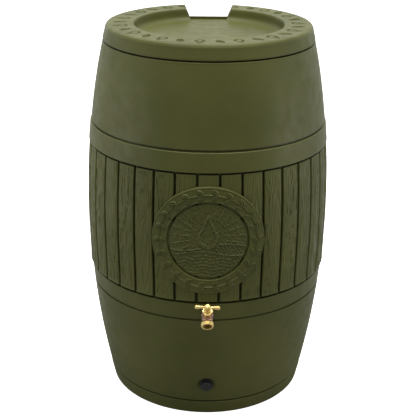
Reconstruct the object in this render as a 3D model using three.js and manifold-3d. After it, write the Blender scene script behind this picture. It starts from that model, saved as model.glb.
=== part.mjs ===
// Rain barrel with a lift-off lid, a leaf screen, a brass tap, a drain plug and an overflow outlet.
//
// Millimetres, +Z up. The origin is on the barrel's axis at the floor. The tap side faces -Y and the lid's
// downspout notch is at the back, +Y. Each piece that comes off on a bench is one mesh with its own name.

import * as THREE from 'three';
import * as BufferGeometryUtils from 'three/addons/utils/BufferGeometryUtils.js';
import { ConvexGeometry } from 'three/addons/geometries/ConvexGeometry.js';
import Module from 'manifold-3d';

const wasm = await Module();
wasm.setup();

// ---- Driving dimensions ------------------------------------------------------------------------------

// Barrel side: one large circular arc, widest at the waist.
const WAIST_RADIUS = 306;
const WAIST_HEIGHT = 484;
const SIDE_ARC_RADIUS = 2068;
const WALL = 5;
const GAP = 0.3;

// Heights of the barrel's zones, from the floor up.
const BASE_LINE = 41.5;
const LOWER_BAND_FOOT = 291;
const STAVE_FOOT = 343;
const STAVE_HEAD = 664;
const UPPER_BAND_HEAD = 715;
const RIM_HEIGHT = 912;
const HEIGHT = 950;

// How far each zone stands proud of the arc.
const LOWER_SMOOTH_PROUD = -0.8;
const LOWER_BAND_PROUD = -1;
const STAVE_PROUD = 0.2;
const STAVE_FLARE = 2.8;
const STAVE_FLARE_LENGTH = 22;
const UPPER_BAND_PROUD = 1.7;
const UPPER_SMOOTH_PROUD = -0.4;
const NECK_PROUD = -1.9;
const NECK_START = 840;
const LINE_DEPTH = 2.6;
const LINE_HALF_WIDTH = 3;

const FOOT_RADIUS = 241;
const FOOT_ROUND = 9;
const RIM_OUTER = 256;
const RIM_EDGE_ROUND = 6;
const MOUTH_RADIUS = 246.5;
const LEDGE_RADIUS = 214;
const LEDGE_TOP = 898;
const LEDGE_THICKNESS = 5;

const STAVES = 36;
const STAVE_GROOVE_WIDTH = 4.6;
const STAVE_GROOVE_DEPTH = 3;

// Round medallion wrapped onto the front of the staves: a raised ring round a sunk disc.
const MEDALLION_HEIGHT = 501;
const MEDALLION_RADIUS = 134.5;
const MEDALLION_DISC_RADIUS = 96.3;
const MEDALLION_WRAP = 0.96;
const MEDALLION_PROUD = 5;
const MEDALLION_DISC_PROUD = 1.2;
const MEDALLION_BACK_Y = 262;

// Lid.
const LID_RIM_RADIUS = 245;
const LID_RECESS_RADIUS = 184;
const LID_FLOOR_RADIUS = 157;
const LID_FLOOR_HEIGHT = 920;
const LID_SHEET = 4.5;
const LID_SKIRT_RADIUS = 259.5;
const LID_RIB_RADIUS = 245.5;
const LID_RIB_FOOT = 903;
const NOTCH_HALF_WIDTH = 58.7;
const NOTCH_WIDTH_AT_Y = 182;
const NOTCH_FLARE = 0.074;
const NOTCH_DRAFT = 0.42;
const NOTCH_LIP_Y = 195.5;
const NOTCH_LIP_THICKNESS = 3.5;
const NOTCH_LIP_HEIGHT = 5.5;

// Leaf screen: mesh clamped between two rings that lie on the mouth's ledge.
const SCREEN_RING_INNER = 219;
const SCREEN_RING_OUTER = 239.7;
const SCREEN_RING_THICKNESS = 3;
const SCREEN_MESH_THICKNESS = 0.6;
const SCREEN_MESH_RADIUS = 236;

// Tap: a horizontal inlet shank, a stem that leans forward and an outlet that points forward and down.
const SHANK_HEIGHT = 310;
const SHANK_RADIUS = 10.6;
const TAP_FLATS_CORNER_RADIUS = 14.8;
const TAP_SEAT_Y = -297;
const TAP_PAD_Y = -287;
const PORT_SEAT_RADIUS = 21;
const PORT_PAD_RADIUS = 24;
const PORT_CLEARANCE = 0.4;
const GASKET = 3;
const CHAMBER_CENTRE = new THREE.Vector3(0, -331, 319);
const STEM_LEAN = THREE.MathUtils.degToRad(30);
const OUTLET_TURN = THREE.MathUtils.degToRad(121);
const CHAMBER_RADIUS = 13.5;
const CHAMBER_TOP = 18.6;
const VALVE_SEAT = -8;
const VALVE_BORE_RADIUS = 9.6;
const SEAT_HOLE_RADIUS = 5.5;
const STEM_RADIUS = 4;
const STEM_CLEARANCE = 0.3;
const OUTLET_LENGTH = 28;
const OUTLET_RADIUS = 15;
const OUTLET_BORE_RADIUS = 10;
const BONNET_CORNER_RADIUS = 13.3;
const BONNET_TOP = 26;
const PACKING_NUT_CORNER_RADIUS = 8.4;
const PACKING_NUT_TOP = 33.5;
const HANDLE_BAR_LEVEL = 40;
const HANDLE_HALF_SPAN = 30.2;
const HANDLE_HUB_RADIUS = 6.1;
const HANDLE_REST_TURN = THREE.MathUtils.degToRad(-2.7);

// Drain plug in its threaded bushing, low on the tap side.
const DRAIN_HEIGHT = 94;
const DRAIN_SEAT_Y = -264;
const DRAIN_PAD_Y = -254;
const DRAIN_FLANGE_RADIUS = 16;
const DRAIN_TUBE_RADIUS = 12;
const DRAIN_BORE_RADIUS = 8.5;
const PLUG_CORNER_RADIUS = 13;
const PLUG_HEAD = 7;
const PLUG_SHANK_LENGTH = 12;

// Overflow hose outlet, high on the back.
const OVERFLOW_HEIGHT = 842;
const OVERFLOW_SEAT_Y = 269;
const OVERFLOW_PAD_Y = 259;
const OVERFLOW_BORE_RADIUS = 9.5;
const OVERFLOW_SHANK_RADIUS = 13.2;
const OVERFLOW_FLATS_CORNER_RADIUS = 17.5;

const SIDES = { barrel: 36, medallion: 32, ring: 20, small: 12, hex: 6 };

// ---- Materials ---------------------------------------------------------------------------------------

const material = (color, roughness, metalness) =>
  new THREE.MeshStandardMaterial({ color, roughness, metalness });

const OLIVE_PLASTIC = [0x4a4b2c, 0.55, 0];
const MACHINED_BRASS = [0xdfc774, 0.25, 1];
const CAST_BRASS = [0x99775c, 0.6, 0.8];
const BLACK_PLASTIC = [0x1c1c1e, 0.4, 0];
const BLACK_RUBBER = [0x18181a, 0.8, 0];
const RED_FIBRE = [0x7a3324, 0.9, 0];
const GRAPHITE = [0x3a3a3c, 0.6, 0];
const SCREEN_GREY = [0x55585a, 0.6, 0.2];

// ---- Geometry helpers --------------------------------------------------------------------------------

const sideRadius = (z) =>
  WAIST_RADIUS - (SIDE_ARC_RADIUS - Math.sqrt(SIDE_ARC_RADIUS ** 2 - (z - WAIST_HEIGHT) ** 2));

// Six times the signed volume under the triangles: negative when the faces point in.
function signedVolume(position, index) {
  const [a, b, c] = [new THREE.Vector3(), new THREE.Vector3(), new THREE.Vector3()];
  let total = 0;
  for (let i = 0; i < index.length; i += 3) {
    a.fromBufferAttribute(position, index[i]);
    b.fromBufferAttribute(position, index[i + 1]);
    c.fromBufferAttribute(position, index[i + 2]);
    total += a.dot(b.cross(c));
  }
  return total;
}

// Shared vertices, no collapsed triangles, faces pointing out.
function closedBody(geometry) {
  const bare = geometry.clone();
  bare.deleteAttribute('normal');
  bare.deleteAttribute('uv');
  const merged = BufferGeometryUtils.mergeVertices(bare, 1e-3);
  const old = merged.index.array;
  const index = [];
  for (let i = 0; i < old.length; i += 3) {
    const [a, b, c] = [old[i], old[i + 1], old[i + 2]];
    if (a !== b && b !== c && c !== a) index.push(a, b, c);
  }
  if (signedVolume(merged.attributes.position, index) < 0) index.reverse();
  merged.setIndex(index);
  return merged;
}

function toSolid(geometry) {
  const body = closedBody(geometry);
  return new wasm.Manifold(new wasm.Mesh({
    numProp: 3,
    vertProperties: new Float32Array(body.attributes.position.array),
    triVerts: new Uint32Array(body.index.array),
  }));
}

function toGeometry(solid) {
  const mesh = solid.getMesh();
  const geometry = new THREE.BufferGeometry();
  geometry.setAttribute('position', new THREE.BufferAttribute(mesh.vertProperties.slice(), 3));
  geometry.setIndex(Array.from(mesh.triVerts));
  return geometry;
}

// A solid of revolution about Z from [radius, height] pairs that start and end on the axis.
function turned(profile, sides) {
  const points = profile.map(([radius, height]) => new THREE.Vector2(radius, height));
  return closedBody(new THREE.LatheGeometry(points, sides).rotateX(Math.PI / 2));
}

// A ring about Z from [radius, height] pairs that never touch the axis.
const turnedRing = (profile, sides) => turned([...profile, profile[0]], sides);

const washer = (inner, outer, low, high, sides) =>
  turnedRing([[inner, low], [outer, low], [outer, high], [inner, high]], sides);

const disc = (radius, low, high, sides) =>
  turned([[0, low], [radius, low], [radius, high], [0, high]], sides);

// Turns a piece made about Z so that it points along Y from the given height.
const alongY = (geometry, height) =>
  geometry.rotateX(-Math.PI / 2).translate(0, 0, height);

// A hexagonal prism about Z with corners on +X and -X.
const hexagon = (cornerRadius, low, high) =>
  disc(cornerRadius, low, high, SIDES.hex).rotateZ(Math.PI / 2);

function piece(name, geometry, look) {
  const mesh = new THREE.Mesh(geometry, material(...look));
  mesh.name = name;
  return mesh;
}

// Points up the barrel's side at a number of even steps, standing proud of the arc.
function sideStretch(low, high, steps, proud) {
  const points = [];
  for (let i = 0; i <= steps; i++) {
    const z = low + (high - low) * i / steps;
    points.push([sideRadius(z) + (typeof proud === 'function' ? proud(z) : proud), z]);
  }
  return points;
}

// The barrel's side as a solid plug, used to trim the medallion to the curve of the barrel.
const sidePlug = (proud, low, high) =>
  toSolid(turned([[0, low], ...sideStretch(low, high, 4, proud), [0, high]], SIDES.barrel));

// ---- Barrel ------------------------------------------------------------------------------------------

const staveProud = (z) => STAVE_PROUD + STAVE_FLARE * Math.exp(-(z - STAVE_FOOT) / STAVE_FLARE_LENGTH);
const lineBottom = (z, proud) => [sideRadius(z) + proud - LINE_DEPTH, z];

function barrelProfile() {
  const footZ = FOOT_ROUND;
  const footRound = [0, 45, 90].map((degrees) => {
    const turn = THREE.MathUtils.degToRad(degrees);
    const across = sideRadius(footZ) - FOOT_RADIUS;
    return [FOOT_RADIUS + across * Math.sin(turn), footZ - footZ * Math.cos(turn)];
  });
  const neckFoot = RIM_HEIGHT - RIM_EDGE_ROUND;
  const innerLow = 12;
  const innerHigh = LEDGE_TOP - LEDGE_THICKNESS - 22;
  return [
    [0, 0],
    ...footRound,
    [sideRadius(BASE_LINE - LINE_HALF_WIDTH), BASE_LINE - LINE_HALF_WIDTH],
    lineBottom(BASE_LINE, 0),
    ...sideStretch(BASE_LINE + LINE_HALF_WIDTH, LOWER_BAND_FOOT - LINE_HALF_WIDTH, 4, LOWER_SMOOTH_PROUD),
    lineBottom(LOWER_BAND_FOOT, LOWER_SMOOTH_PROUD),
    ...sideStretch(LOWER_BAND_FOOT + LINE_HALF_WIDTH, STAVE_FOOT - 1, 1, LOWER_BAND_PROUD),
    ...sideStretch(STAVE_FOOT, STAVE_FOOT + 2 * STAVE_FLARE_LENGTH, 1, staveProud),
    ...sideStretch(WAIST_HEIGHT, STAVE_HEAD - LINE_HALF_WIDTH, 2, STAVE_PROUD),
    lineBottom(STAVE_HEAD, STAVE_PROUD),
    ...sideStretch(STAVE_HEAD + LINE_HALF_WIDTH, UPPER_BAND_HEAD - LINE_HALF_WIDTH, 1, UPPER_BAND_PROUD),
    lineBottom(UPPER_BAND_HEAD, UPPER_SMOOTH_PROUD),
    ...sideStretch(UPPER_BAND_HEAD + LINE_HALF_WIDTH, NECK_START, 2, UPPER_SMOOTH_PROUD),
    [sideRadius(neckFoot) + NECK_PROUD, neckFoot],
    [RIM_OUTER, RIM_HEIGHT],
    [MOUTH_RADIUS, RIM_HEIGHT],
    [MOUTH_RADIUS, LEDGE_TOP],
    [LEDGE_RADIUS, LEDGE_TOP],
    [LEDGE_RADIUS, LEDGE_TOP - LEDGE_THICKNESS],
    ...sideStretch(innerLow, innerHigh, 7, -WALL).reverse(),
    [FOOT_RADIUS - 6, WALL],
    [0, WALL],
  ];
}

// A V-shaped cutter that follows the side's curve, for the gap between two staves on the +X side.
function staveGroove() {
  const low = STAVE_FOOT - 6;
  const high = STAVE_HEAD;
  const steps = 2;
  const reach = STAVE_FLARE + 6;
  const half = STAVE_GROOVE_WIDTH / 2 * (reach + STAVE_GROOVE_DEPTH) / STAVE_GROOVE_DEPTH;
  const position = [];
  const index = [];
  for (let i = 0; i <= steps; i++) {
    const z = low + (high - low) * i / steps;
    const radius = sideRadius(z);
    position.push(radius - STAVE_GROOVE_DEPTH, 0, z);
    position.push(radius + reach, half, z, radius + reach, -half, z);
    if (i < steps) {
      for (let j = 0; j < 3; j++) {
        const [a, b] = [3 * i + j, 3 * i + (j + 1) % 3];
        index.push(a, b, b + 3, a, b + 3, a + 3);
      }
    }
  }
  const last = 3 * steps;
  index.push(0, 2, 1, last, last + 1, last + 2);
  const geometry = new THREE.BufferGeometry();
  geometry.setAttribute('position', new THREE.Float32BufferAttribute(position, 3));
  geometry.setIndex(index);
  return geometry;
}

function cutStaves(barrel) {
  const groove = staveGroove();
  for (let i = 0; i < STAVES; i++) {
    const turn = (i + 0.5) / STAVES * 2 * Math.PI - Math.PI / 2;
    barrel = barrel.subtract(toSolid(groove.clone().rotateZ(turn)));
  }
  return barrel;
}

function addMedallion(barrel) {
  const low = MEDALLION_HEIGHT - MEDALLION_RADIUS - 10;
  const high = MEDALLION_HEIGHT + MEDALLION_RADIUS + 10;
  const coin = (radius, back) => toSolid(
    alongY(disc(radius, -(WAIST_RADIUS + 20), -back, SIDES.medallion), 0)
      .scale(MEDALLION_WRAP, 1, 1).translate(0, 0, MEDALLION_HEIGHT));
  const raised = coin(MEDALLION_RADIUS, MEDALLION_BACK_Y).intersect(sidePlug(MEDALLION_PROUD, low, high));
  const sunk = coin(MEDALLION_DISC_RADIUS, MEDALLION_BACK_Y).subtract(sidePlug(MEDALLION_DISC_PROUD, low, high));
  return barrel.add(raised).subtract(sunk);
}

// A flat outer seat, a flat inner pad and a hole through the wall, for a fitting that clamps the wall.
// `outward` is -1 for the tap side and +1 for the back.
function addPort(barrel, height, outward, seat, pad, holeRadius) {
  const inner = Math.min(Math.abs(seat) - 1, Math.abs(pad));
  const cylinder = (radius, from, to) => {
    const [low, high] = [outward * from, outward * to].sort((a, b) => a - b);
    return toSolid(alongY(disc(radius, low, high, SIDES.ring), height));
  };
  return barrel
    .add(cylinder(PORT_PAD_RADIUS, inner, Math.abs(seat) - 1))
    .subtract(cylinder(PORT_SEAT_RADIUS, Math.abs(seat), WAIST_RADIUS + 10))
    .subtract(cylinder(holeRadius, inner - 10, WAIST_RADIUS));
}

function barrelBody() {
  let barrel = toSolid(turned(barrelProfile(), SIDES.barrel));
  barrel = cutStaves(barrel);
  barrel = addMedallion(barrel);
  barrel = addPort(barrel, SHANK_HEIGHT, -1, TAP_SEAT_Y, TAP_PAD_Y, SHANK_RADIUS + PORT_CLEARANCE);
  barrel = addPort(barrel, DRAIN_HEIGHT, -1, DRAIN_SEAT_Y, DRAIN_PAD_Y, DRAIN_TUBE_RADIUS + PORT_CLEARANCE);
  return addPort(
    barrel, OVERFLOW_HEIGHT, 1, OVERFLOW_SEAT_Y, OVERFLOW_PAD_Y, OVERFLOW_SHANK_RADIUS + PORT_CLEARANCE);
}

// ---- Lid ---------------------------------------------------------------------------------------------

// Half-width of the downspout notch: its sides open outwards and upwards.
const notchHalfWidth = (y, z) =>
  NOTCH_HALF_WIDTH + NOTCH_FLARE * (y - NOTCH_WIDTH_AT_Y) - NOTCH_DRAFT * (HEIGHT - z);

// A wedge between the notch's side planes, moved out by `extra`.
function notchWedge(nearY, farY, low, high, extra) {
  const corners = [];
  for (const y of [nearY, farY]) {
    for (const z of [low, high]) {
      const half = notchHalfWidth(y, z) + extra;
      corners.push(new THREE.Vector3(half, y, z), new THREE.Vector3(-half, y, z));
    }
  }
  return toSolid(new ConvexGeometry(corners));
}

function lidBlank() {
  const edge = LID_RIM_RADIUS;
  return toSolid(turned([
    [0, LID_FLOOR_HEIGHT - LID_SHEET],
    [LID_RIB_RADIUS - LID_SHEET, LID_FLOOR_HEIGHT - LID_SHEET],
    [LID_RIB_RADIUS - LID_SHEET, LID_RIB_FOOT],
    [LID_RIB_RADIUS, LID_RIB_FOOT],
    [LID_RIB_RADIUS, RIM_HEIGHT + GAP],
    [RIM_OUTER, RIM_HEIGHT + GAP],
    [LID_SKIRT_RADIUS, RIM_HEIGHT + 4],
    [edge + 8.6, HEIGHT - 12],
    [edge + 6, HEIGHT - 4],
    [edge, HEIGHT],
    [LID_RECESS_RADIUS + 3, HEIGHT],
    [LID_RECESS_RADIUS, HEIGHT - 3],
    [LID_RECESS_RADIUS - 4, LID_FLOOR_HEIGHT + 14],
    [LID_RECESS_RADIUS - 14, LID_FLOOR_HEIGHT + 4],
    [LID_FLOOR_RADIUS, LID_FLOOR_HEIGHT],
    [0, LID_FLOOR_HEIGHT],
  ], SIDES.barrel));
}

// The hollow under the lid's rim, open below.
function lidHollow() {
  const ribInner = LID_RIB_RADIUS - LID_SHEET;
  const roof = HEIGHT - LID_SHEET;
  return toSolid(turnedRing([
    [LID_FLOOR_RADIUS + 14, LID_FLOOR_HEIGHT - LID_SHEET - 12],
    [ribInner, LID_FLOOR_HEIGHT - LID_SHEET - 12],
    [ribInner, RIM_HEIGHT + 5],
    [ribInner + 8, RIM_HEIGHT + 9],
    [ribInner + 5, roof - 5],
    [ribInner + 1, roof],
    [LID_RECESS_RADIUS + 5, roof],
    [LID_RECESS_RADIUS, LID_FLOOR_HEIGHT + 11],
    [LID_RECESS_RADIUS - 11, LID_FLOOR_HEIGHT],
    [LID_FLOOR_RADIUS + 14, LID_FLOOR_HEIGHT - LID_SHEET + 1],
  ], SIDES.barrel));
}

function lid() {
  const below = LID_RIB_FOOT - 10;
  const above = HEIGHT + 10;
  const behind = LID_SKIRT_RADIUS + 15;
  const floorFoot = LID_FLOOR_HEIGHT - LID_SHEET;
  const lipBack = NOTCH_LIP_Y + NOTCH_LIP_THICKNESS;
  const lipTop = LID_FLOOR_HEIGHT + NOTCH_LIP_HEIGHT;
  const floorFront = LID_FLOOR_RADIUS - 25;
  const notchWalls = notchWedge(floorFront, behind, floorFoot, above, LID_SHEET);
  return lidBlank()
    .subtract(lidHollow().subtract(notchWalls))
    .subtract(notchWedge(floorFront, lipBack, LID_FLOOR_HEIGHT, above, 0))
    .subtract(notchWedge(lipBack, behind, below, above, 0))
    .add(notchWedge(NOTCH_LIP_Y, lipBack, floorFoot, lipTop, 1));
}

// ---- Leaf screen -------------------------------------------------------------------------------------

const SCREEN_RING_FOOT = LEDGE_TOP + GAP;
const SCREEN_MESH_FOOT = SCREEN_RING_FOOT + SCREEN_RING_THICKNESS + GAP;
const CLAMP_RING_FOOT = SCREEN_MESH_FOOT + SCREEN_MESH_THICKNESS + GAP;

const screenRing = (foot) => washer(
  SCREEN_RING_INNER, SCREEN_RING_OUTER, foot, foot + SCREEN_RING_THICKNESS, SIDES.barrel);

const screenMesh = () => disc(
  SCREEN_MESH_RADIUS, SCREEN_MESH_FOOT, SCREEN_MESH_FOOT + SCREEN_MESH_THICKNESS, SIDES.barrel);

// ---- Tap ---------------------------------------------------------------------------------------------

const TAP_FLANGE_Y = TAP_SEAT_Y - GAP - GASKET - GAP;
const TAP_INNER_GASKET_Y = TAP_PAD_Y + GAP;
const TAP_LOCKNUT_Y = TAP_INNER_GASKET_Y + GASKET + GAP;
const LOCKNUT_THICKNESS = 9;
const NUT_CORNER_REACH = 5.8;
const GASKET_REACH = 4.6;
const SHANK_END_Y = TAP_LOCKNUT_Y + LOCKNUT_THICKNESS + 5;

// Places a geometry made about Z onto the valve chamber, turned forward about X.
const fromChamber = (geometry, turn) => geometry
  .rotateX(turn).translate(CHAMBER_CENTRE.x, CHAMBER_CENTRE.y, CHAMBER_CENTRE.z);

// Cast body: shank, wrench flats and neck on one line, then the leaning chamber and the outlet.
function tapBody() {
  const flatsEnd = TAP_FLANGE_Y - 9;
  const chamber = turned([
    [0, -23], [8, -22], [12.5, -17], [CHAMBER_RADIUS, -11], [CHAMBER_RADIUS, CHAMBER_TOP], [0, CHAMBER_TOP],
  ], SIDES.ring);
  const outlet = turned([
    [0, 0], [10.5, 0], [10.5, OUTLET_LENGTH - 11], [OUTLET_RADIUS, OUTLET_LENGTH - 9],
    [OUTLET_RADIUS, OUTLET_LENGTH - 1], [OUTLET_RADIUS - 1, OUTLET_LENGTH], [0, OUTLET_LENGTH],
  ], SIDES.ring);
  const solids = [
    alongY(disc(SHANK_RADIUS, TAP_FLANGE_Y, SHANK_END_Y, SIDES.ring), SHANK_HEIGHT),
    alongY(hexagon(TAP_FLATS_CORNER_RADIUS, flatsEnd, TAP_FLANGE_Y), SHANK_HEIGHT),
    alongY(disc(10.4, CHAMBER_CENTRE.y + 8, flatsEnd, SIDES.ring), SHANK_HEIGHT),
    fromChamber(chamber, STEM_LEAN),
    fromChamber(outlet, OUTLET_TURN),
  ];
  const inletBoreRadius = 7;
  const lowerCavityTop = VALVE_SEAT - 3;
  const hollows = [
    alongY(disc(inletBoreRadius, CHAMBER_CENTRE.y + 7, SHANK_END_Y + 5, SIDES.small), SHANK_HEIGHT),
    fromChamber(disc(8, -18, lowerCavityTop, SIDES.small), STEM_LEAN),
    fromChamber(disc(SEAT_HOLE_RADIUS, lowerCavityTop - 1, VALVE_SEAT + 1, SIDES.small), STEM_LEAN),
    fromChamber(disc(VALVE_BORE_RADIUS, VALVE_SEAT, CHAMBER_TOP + 5, SIDES.ring), STEM_LEAN),
    fromChamber(disc(6, 2, 15, SIDES.small), OUTLET_TURN),
    fromChamber(disc(OUTLET_BORE_RADIUS, 14, OUTLET_LENGTH + 5, SIDES.ring), OUTLET_TURN),
  ];
  const [first, ...others] = solids.map(toSolid);
  const body = others.reduce((whole, part) => whole.add(part), first);
  return toGeometry(hollows.map(toSolid).reduce((whole, part) => whole.subtract(part), body));
}

// The pieces below are made about Z, with their heights measured along the stem from the chamber's centre.
const BONNET_GASKET = 0.8;
const BONNET_FOOT = CHAMBER_TOP + GAP + BONNET_GASKET + GAP;
const BONNET_PLUG_RADIUS = 9.2;
const BONNET_PLUG_FOOT = 11.5;
const GLAND_BOSS_RADIUS = 5.9;
const GLAND_BOSS_TOP = BONNET_TOP + 3;
const STEM_BORE = STEM_RADIUS + STEM_CLEARANCE;
const WASHER_THICKNESS = 3;
const WASHER_FOOT = VALVE_SEAT + GAP;
const STEM_HEAD_FOOT = WASHER_FOOT + WASHER_THICKNESS + GAP;
const STEM_TOP = HANDLE_BAR_LEVEL + 4;
const HUB_FOOT = HANDLE_BAR_LEVEL - 4.7;
const HUB_TOP = HANDLE_BAR_LEVEL + 6.5;
const SCREW_SHANK_RADIUS = 1.6;
const SCREW_CLEARANCE = 0.3;

function bonnet() {
  const head = toSolid(hexagon(BONNET_CORNER_RADIUS, BONNET_FOOT, BONNET_TOP));
  const plug = toSolid(disc(BONNET_PLUG_RADIUS, BONNET_PLUG_FOOT, BONNET_FOOT + 1, SIDES.ring));
  const boss = toSolid(disc(GLAND_BOSS_RADIUS, BONNET_TOP - 1, GLAND_BOSS_TOP, SIDES.small));
  const bore = toSolid(disc(STEM_BORE, BONNET_PLUG_FOOT - 5, GLAND_BOSS_TOP + 5, SIDES.small));
  return toGeometry(head.add(plug).add(boss).subtract(bore));
}

const bonnetGasket = () => washer(
  BONNET_PLUG_RADIUS + GAP, CHAMBER_RADIUS - 1, CHAMBER_TOP + GAP, BONNET_FOOT - GAP, SIDES.ring);

function packingNut() {
  const roof = PACKING_NUT_TOP - 2;
  const nut = toSolid(hexagon(PACKING_NUT_CORNER_RADIUS, BONNET_TOP + GAP, PACKING_NUT_TOP));
  const cup = toSolid(disc(GLAND_BOSS_RADIUS + GAP, BONNET_TOP - 5, roof, SIDES.small));
  const bore = toSolid(disc(STEM_BORE, roof - 1, PACKING_NUT_TOP + 5, SIDES.small));
  return toGeometry(nut.subtract(cup).subtract(bore));
}

const packingRing = () => washer(
  STEM_BORE, GLAND_BOSS_RADIUS, GLAND_BOSS_TOP + GAP, PACKING_NUT_TOP - 2 - GAP, SIDES.small);

// Stem with its washer head; the blind holes at both ends take the two screws.
function stem() {
  const holeRadius = SCREW_SHANK_RADIUS + SCREW_CLEARANCE;
  const headTop = STEM_HEAD_FOOT + 3.5;
  return turned([
    [0, STEM_HEAD_FOOT + 7], [holeRadius, STEM_HEAD_FOOT + 7], [holeRadius, STEM_HEAD_FOOT],
    [7, STEM_HEAD_FOOT], [7, headTop], [STEM_RADIUS, headTop], [STEM_RADIUS, HUB_FOOT - 1],
    [3, HUB_FOOT], [3, STEM_TOP], [holeRadius, STEM_TOP], [holeRadius, STEM_TOP - 7], [0, STEM_TOP - 7],
  ], SIDES.small);
}

const seatWasher = () => washer(
  SCREW_SHANK_RADIUS + SCREW_CLEARANCE, 7, WASHER_FOOT, WASHER_FOOT + WASHER_THICKNESS, SIDES.small);

// A screw about Z whose head lies `side` (+1 above, -1 below) the seat, with its shank going the other way.
function screw(seat, side, headRadius, headHeight, length) {
  const profile = [
    [0, seat - side * length], [SCREW_SHANK_RADIUS, seat - side * length], [SCREW_SHANK_RADIUS, seat],
    [headRadius, seat], [headRadius - 0.4, seat + side * headHeight], [0, seat + side * headHeight],
  ];
  return turned(profile, SIDES.small);
}

// Tee handle: a bored hub with a bar that swells to a rounded paddle at each end.
function teeHandle() {
  const arm = turned([
    [0, 0], [2.4, 0], [2.3, 10], [3.0, 16], [4.4, 22], [4.7, 25.5], [3.9, 28.6], [0, HANDLE_HALF_SPAN],
  ], SIDES.small);
  const hub = turned([
    [0, HUB_FOOT], [HANDLE_HUB_RADIUS - 0.6, HUB_FOOT], [HANDLE_HUB_RADIUS, HANDLE_BAR_LEVEL],
    [HANDLE_HUB_RADIUS - 0.4, HUB_TOP - 1], [HANDLE_HUB_RADIUS - 1.4, HUB_TOP], [0, HUB_TOP],
  ], SIDES.small);
  const placed = (turn) => toSolid(arm.clone().rotateY(turn).translate(0, 0, HANDLE_BAR_LEVEL));
  const stemHole = toSolid(disc(3 + GAP, HUB_FOOT - 5, STEM_TOP + GAP, SIDES.small));
  const screwHole = toSolid(disc(SCREW_SHANK_RADIUS + SCREW_CLEARANCE, STEM_TOP - 1, HUB_TOP + 5, SIDES.small));
  const handle = toSolid(hub).add(placed(Math.PI / 2)).add(placed(-Math.PI / 2));
  return toGeometry(handle.subtract(stemHole).subtract(screwHole)).rotateZ(HANDLE_REST_TURN);
}

function tap() {
  const stemGroup = new THREE.Group();
  stemGroup.position.copy(CHAMBER_CENTRE);
  stemGroup.rotation.x = STEM_LEAN;
  const washerScrewLength = WASHER_THICKNESS + 6;
  stemGroup.add(
    piece('bonnet', bonnet(), MACHINED_BRASS),
    piece('bonnet_gasket', bonnetGasket(), RED_FIBRE),
    piece('packing_nut', packingNut(), MACHINED_BRASS),
    piece('packing_ring', packingRing(), GRAPHITE),
    piece('valve_stem', stem(), MACHINED_BRASS),
    piece('seat_washer', seatWasher(), BLACK_RUBBER),
    piece('washer_screw', screw(WASHER_FOOT - GAP, -1, 3.4, 1.8, washerScrewLength), MACHINED_BRASS),
    piece('tee_handle', teeHandle(), MACHINED_BRASS),
    piece('handle_screw', screw(HUB_TOP + GAP, 1, 3.4, 1.8, 8), MACHINED_BRASS),
  );
  const gasket = (from) => alongY(
    washer(SHANK_RADIUS + GAP, SHANK_RADIUS + GASKET_REACH, from, from + GASKET, SIDES.ring), SHANK_HEIGHT);
  const group = new THREE.Group();
  group.add(
    piece('tap_body', tapBody(), CAST_BRASS),
    piece('tap_outer_gasket', gasket(TAP_SEAT_Y - GAP - GASKET), BLACK_RUBBER),
    piece('tap_inner_gasket', gasket(TAP_INNER_GASKET_Y), BLACK_RUBBER),
    piece('tap_locknut', lockNut(SHANK_RADIUS, TAP_LOCKNUT_Y, SHANK_HEIGHT), MACHINED_BRASS),
    stemGroup,
  );
  return group;
}

// A hexagonal nut on a Y axis, running on a shank of the given radius.
function lockNut(shankRadius, from, height) {
  const cornerRadius = shankRadius + NUT_CORNER_REACH;
  const nut = toSolid(hexagon(cornerRadius, from, from + LOCKNUT_THICKNESS));
  const bore = toSolid(disc(shankRadius + GAP, from - 5, from + LOCKNUT_THICKNESS + 5, SIDES.ring));
  return alongY(toGeometry(nut.subtract(bore)), height);
}

// ---- Drain plug --------------------------------------------------------------------------------------

const DRAIN_FLANGE_FACE = DRAIN_SEAT_Y - GAP - 3;
const PLUG_SEAL = 1.6;
const PLUG_FOOT = DRAIN_FLANGE_FACE - GAP - PLUG_SEAL - GAP;
const PLUG_SHANK_RADIUS = DRAIN_BORE_RADIUS - GAP;

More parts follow.
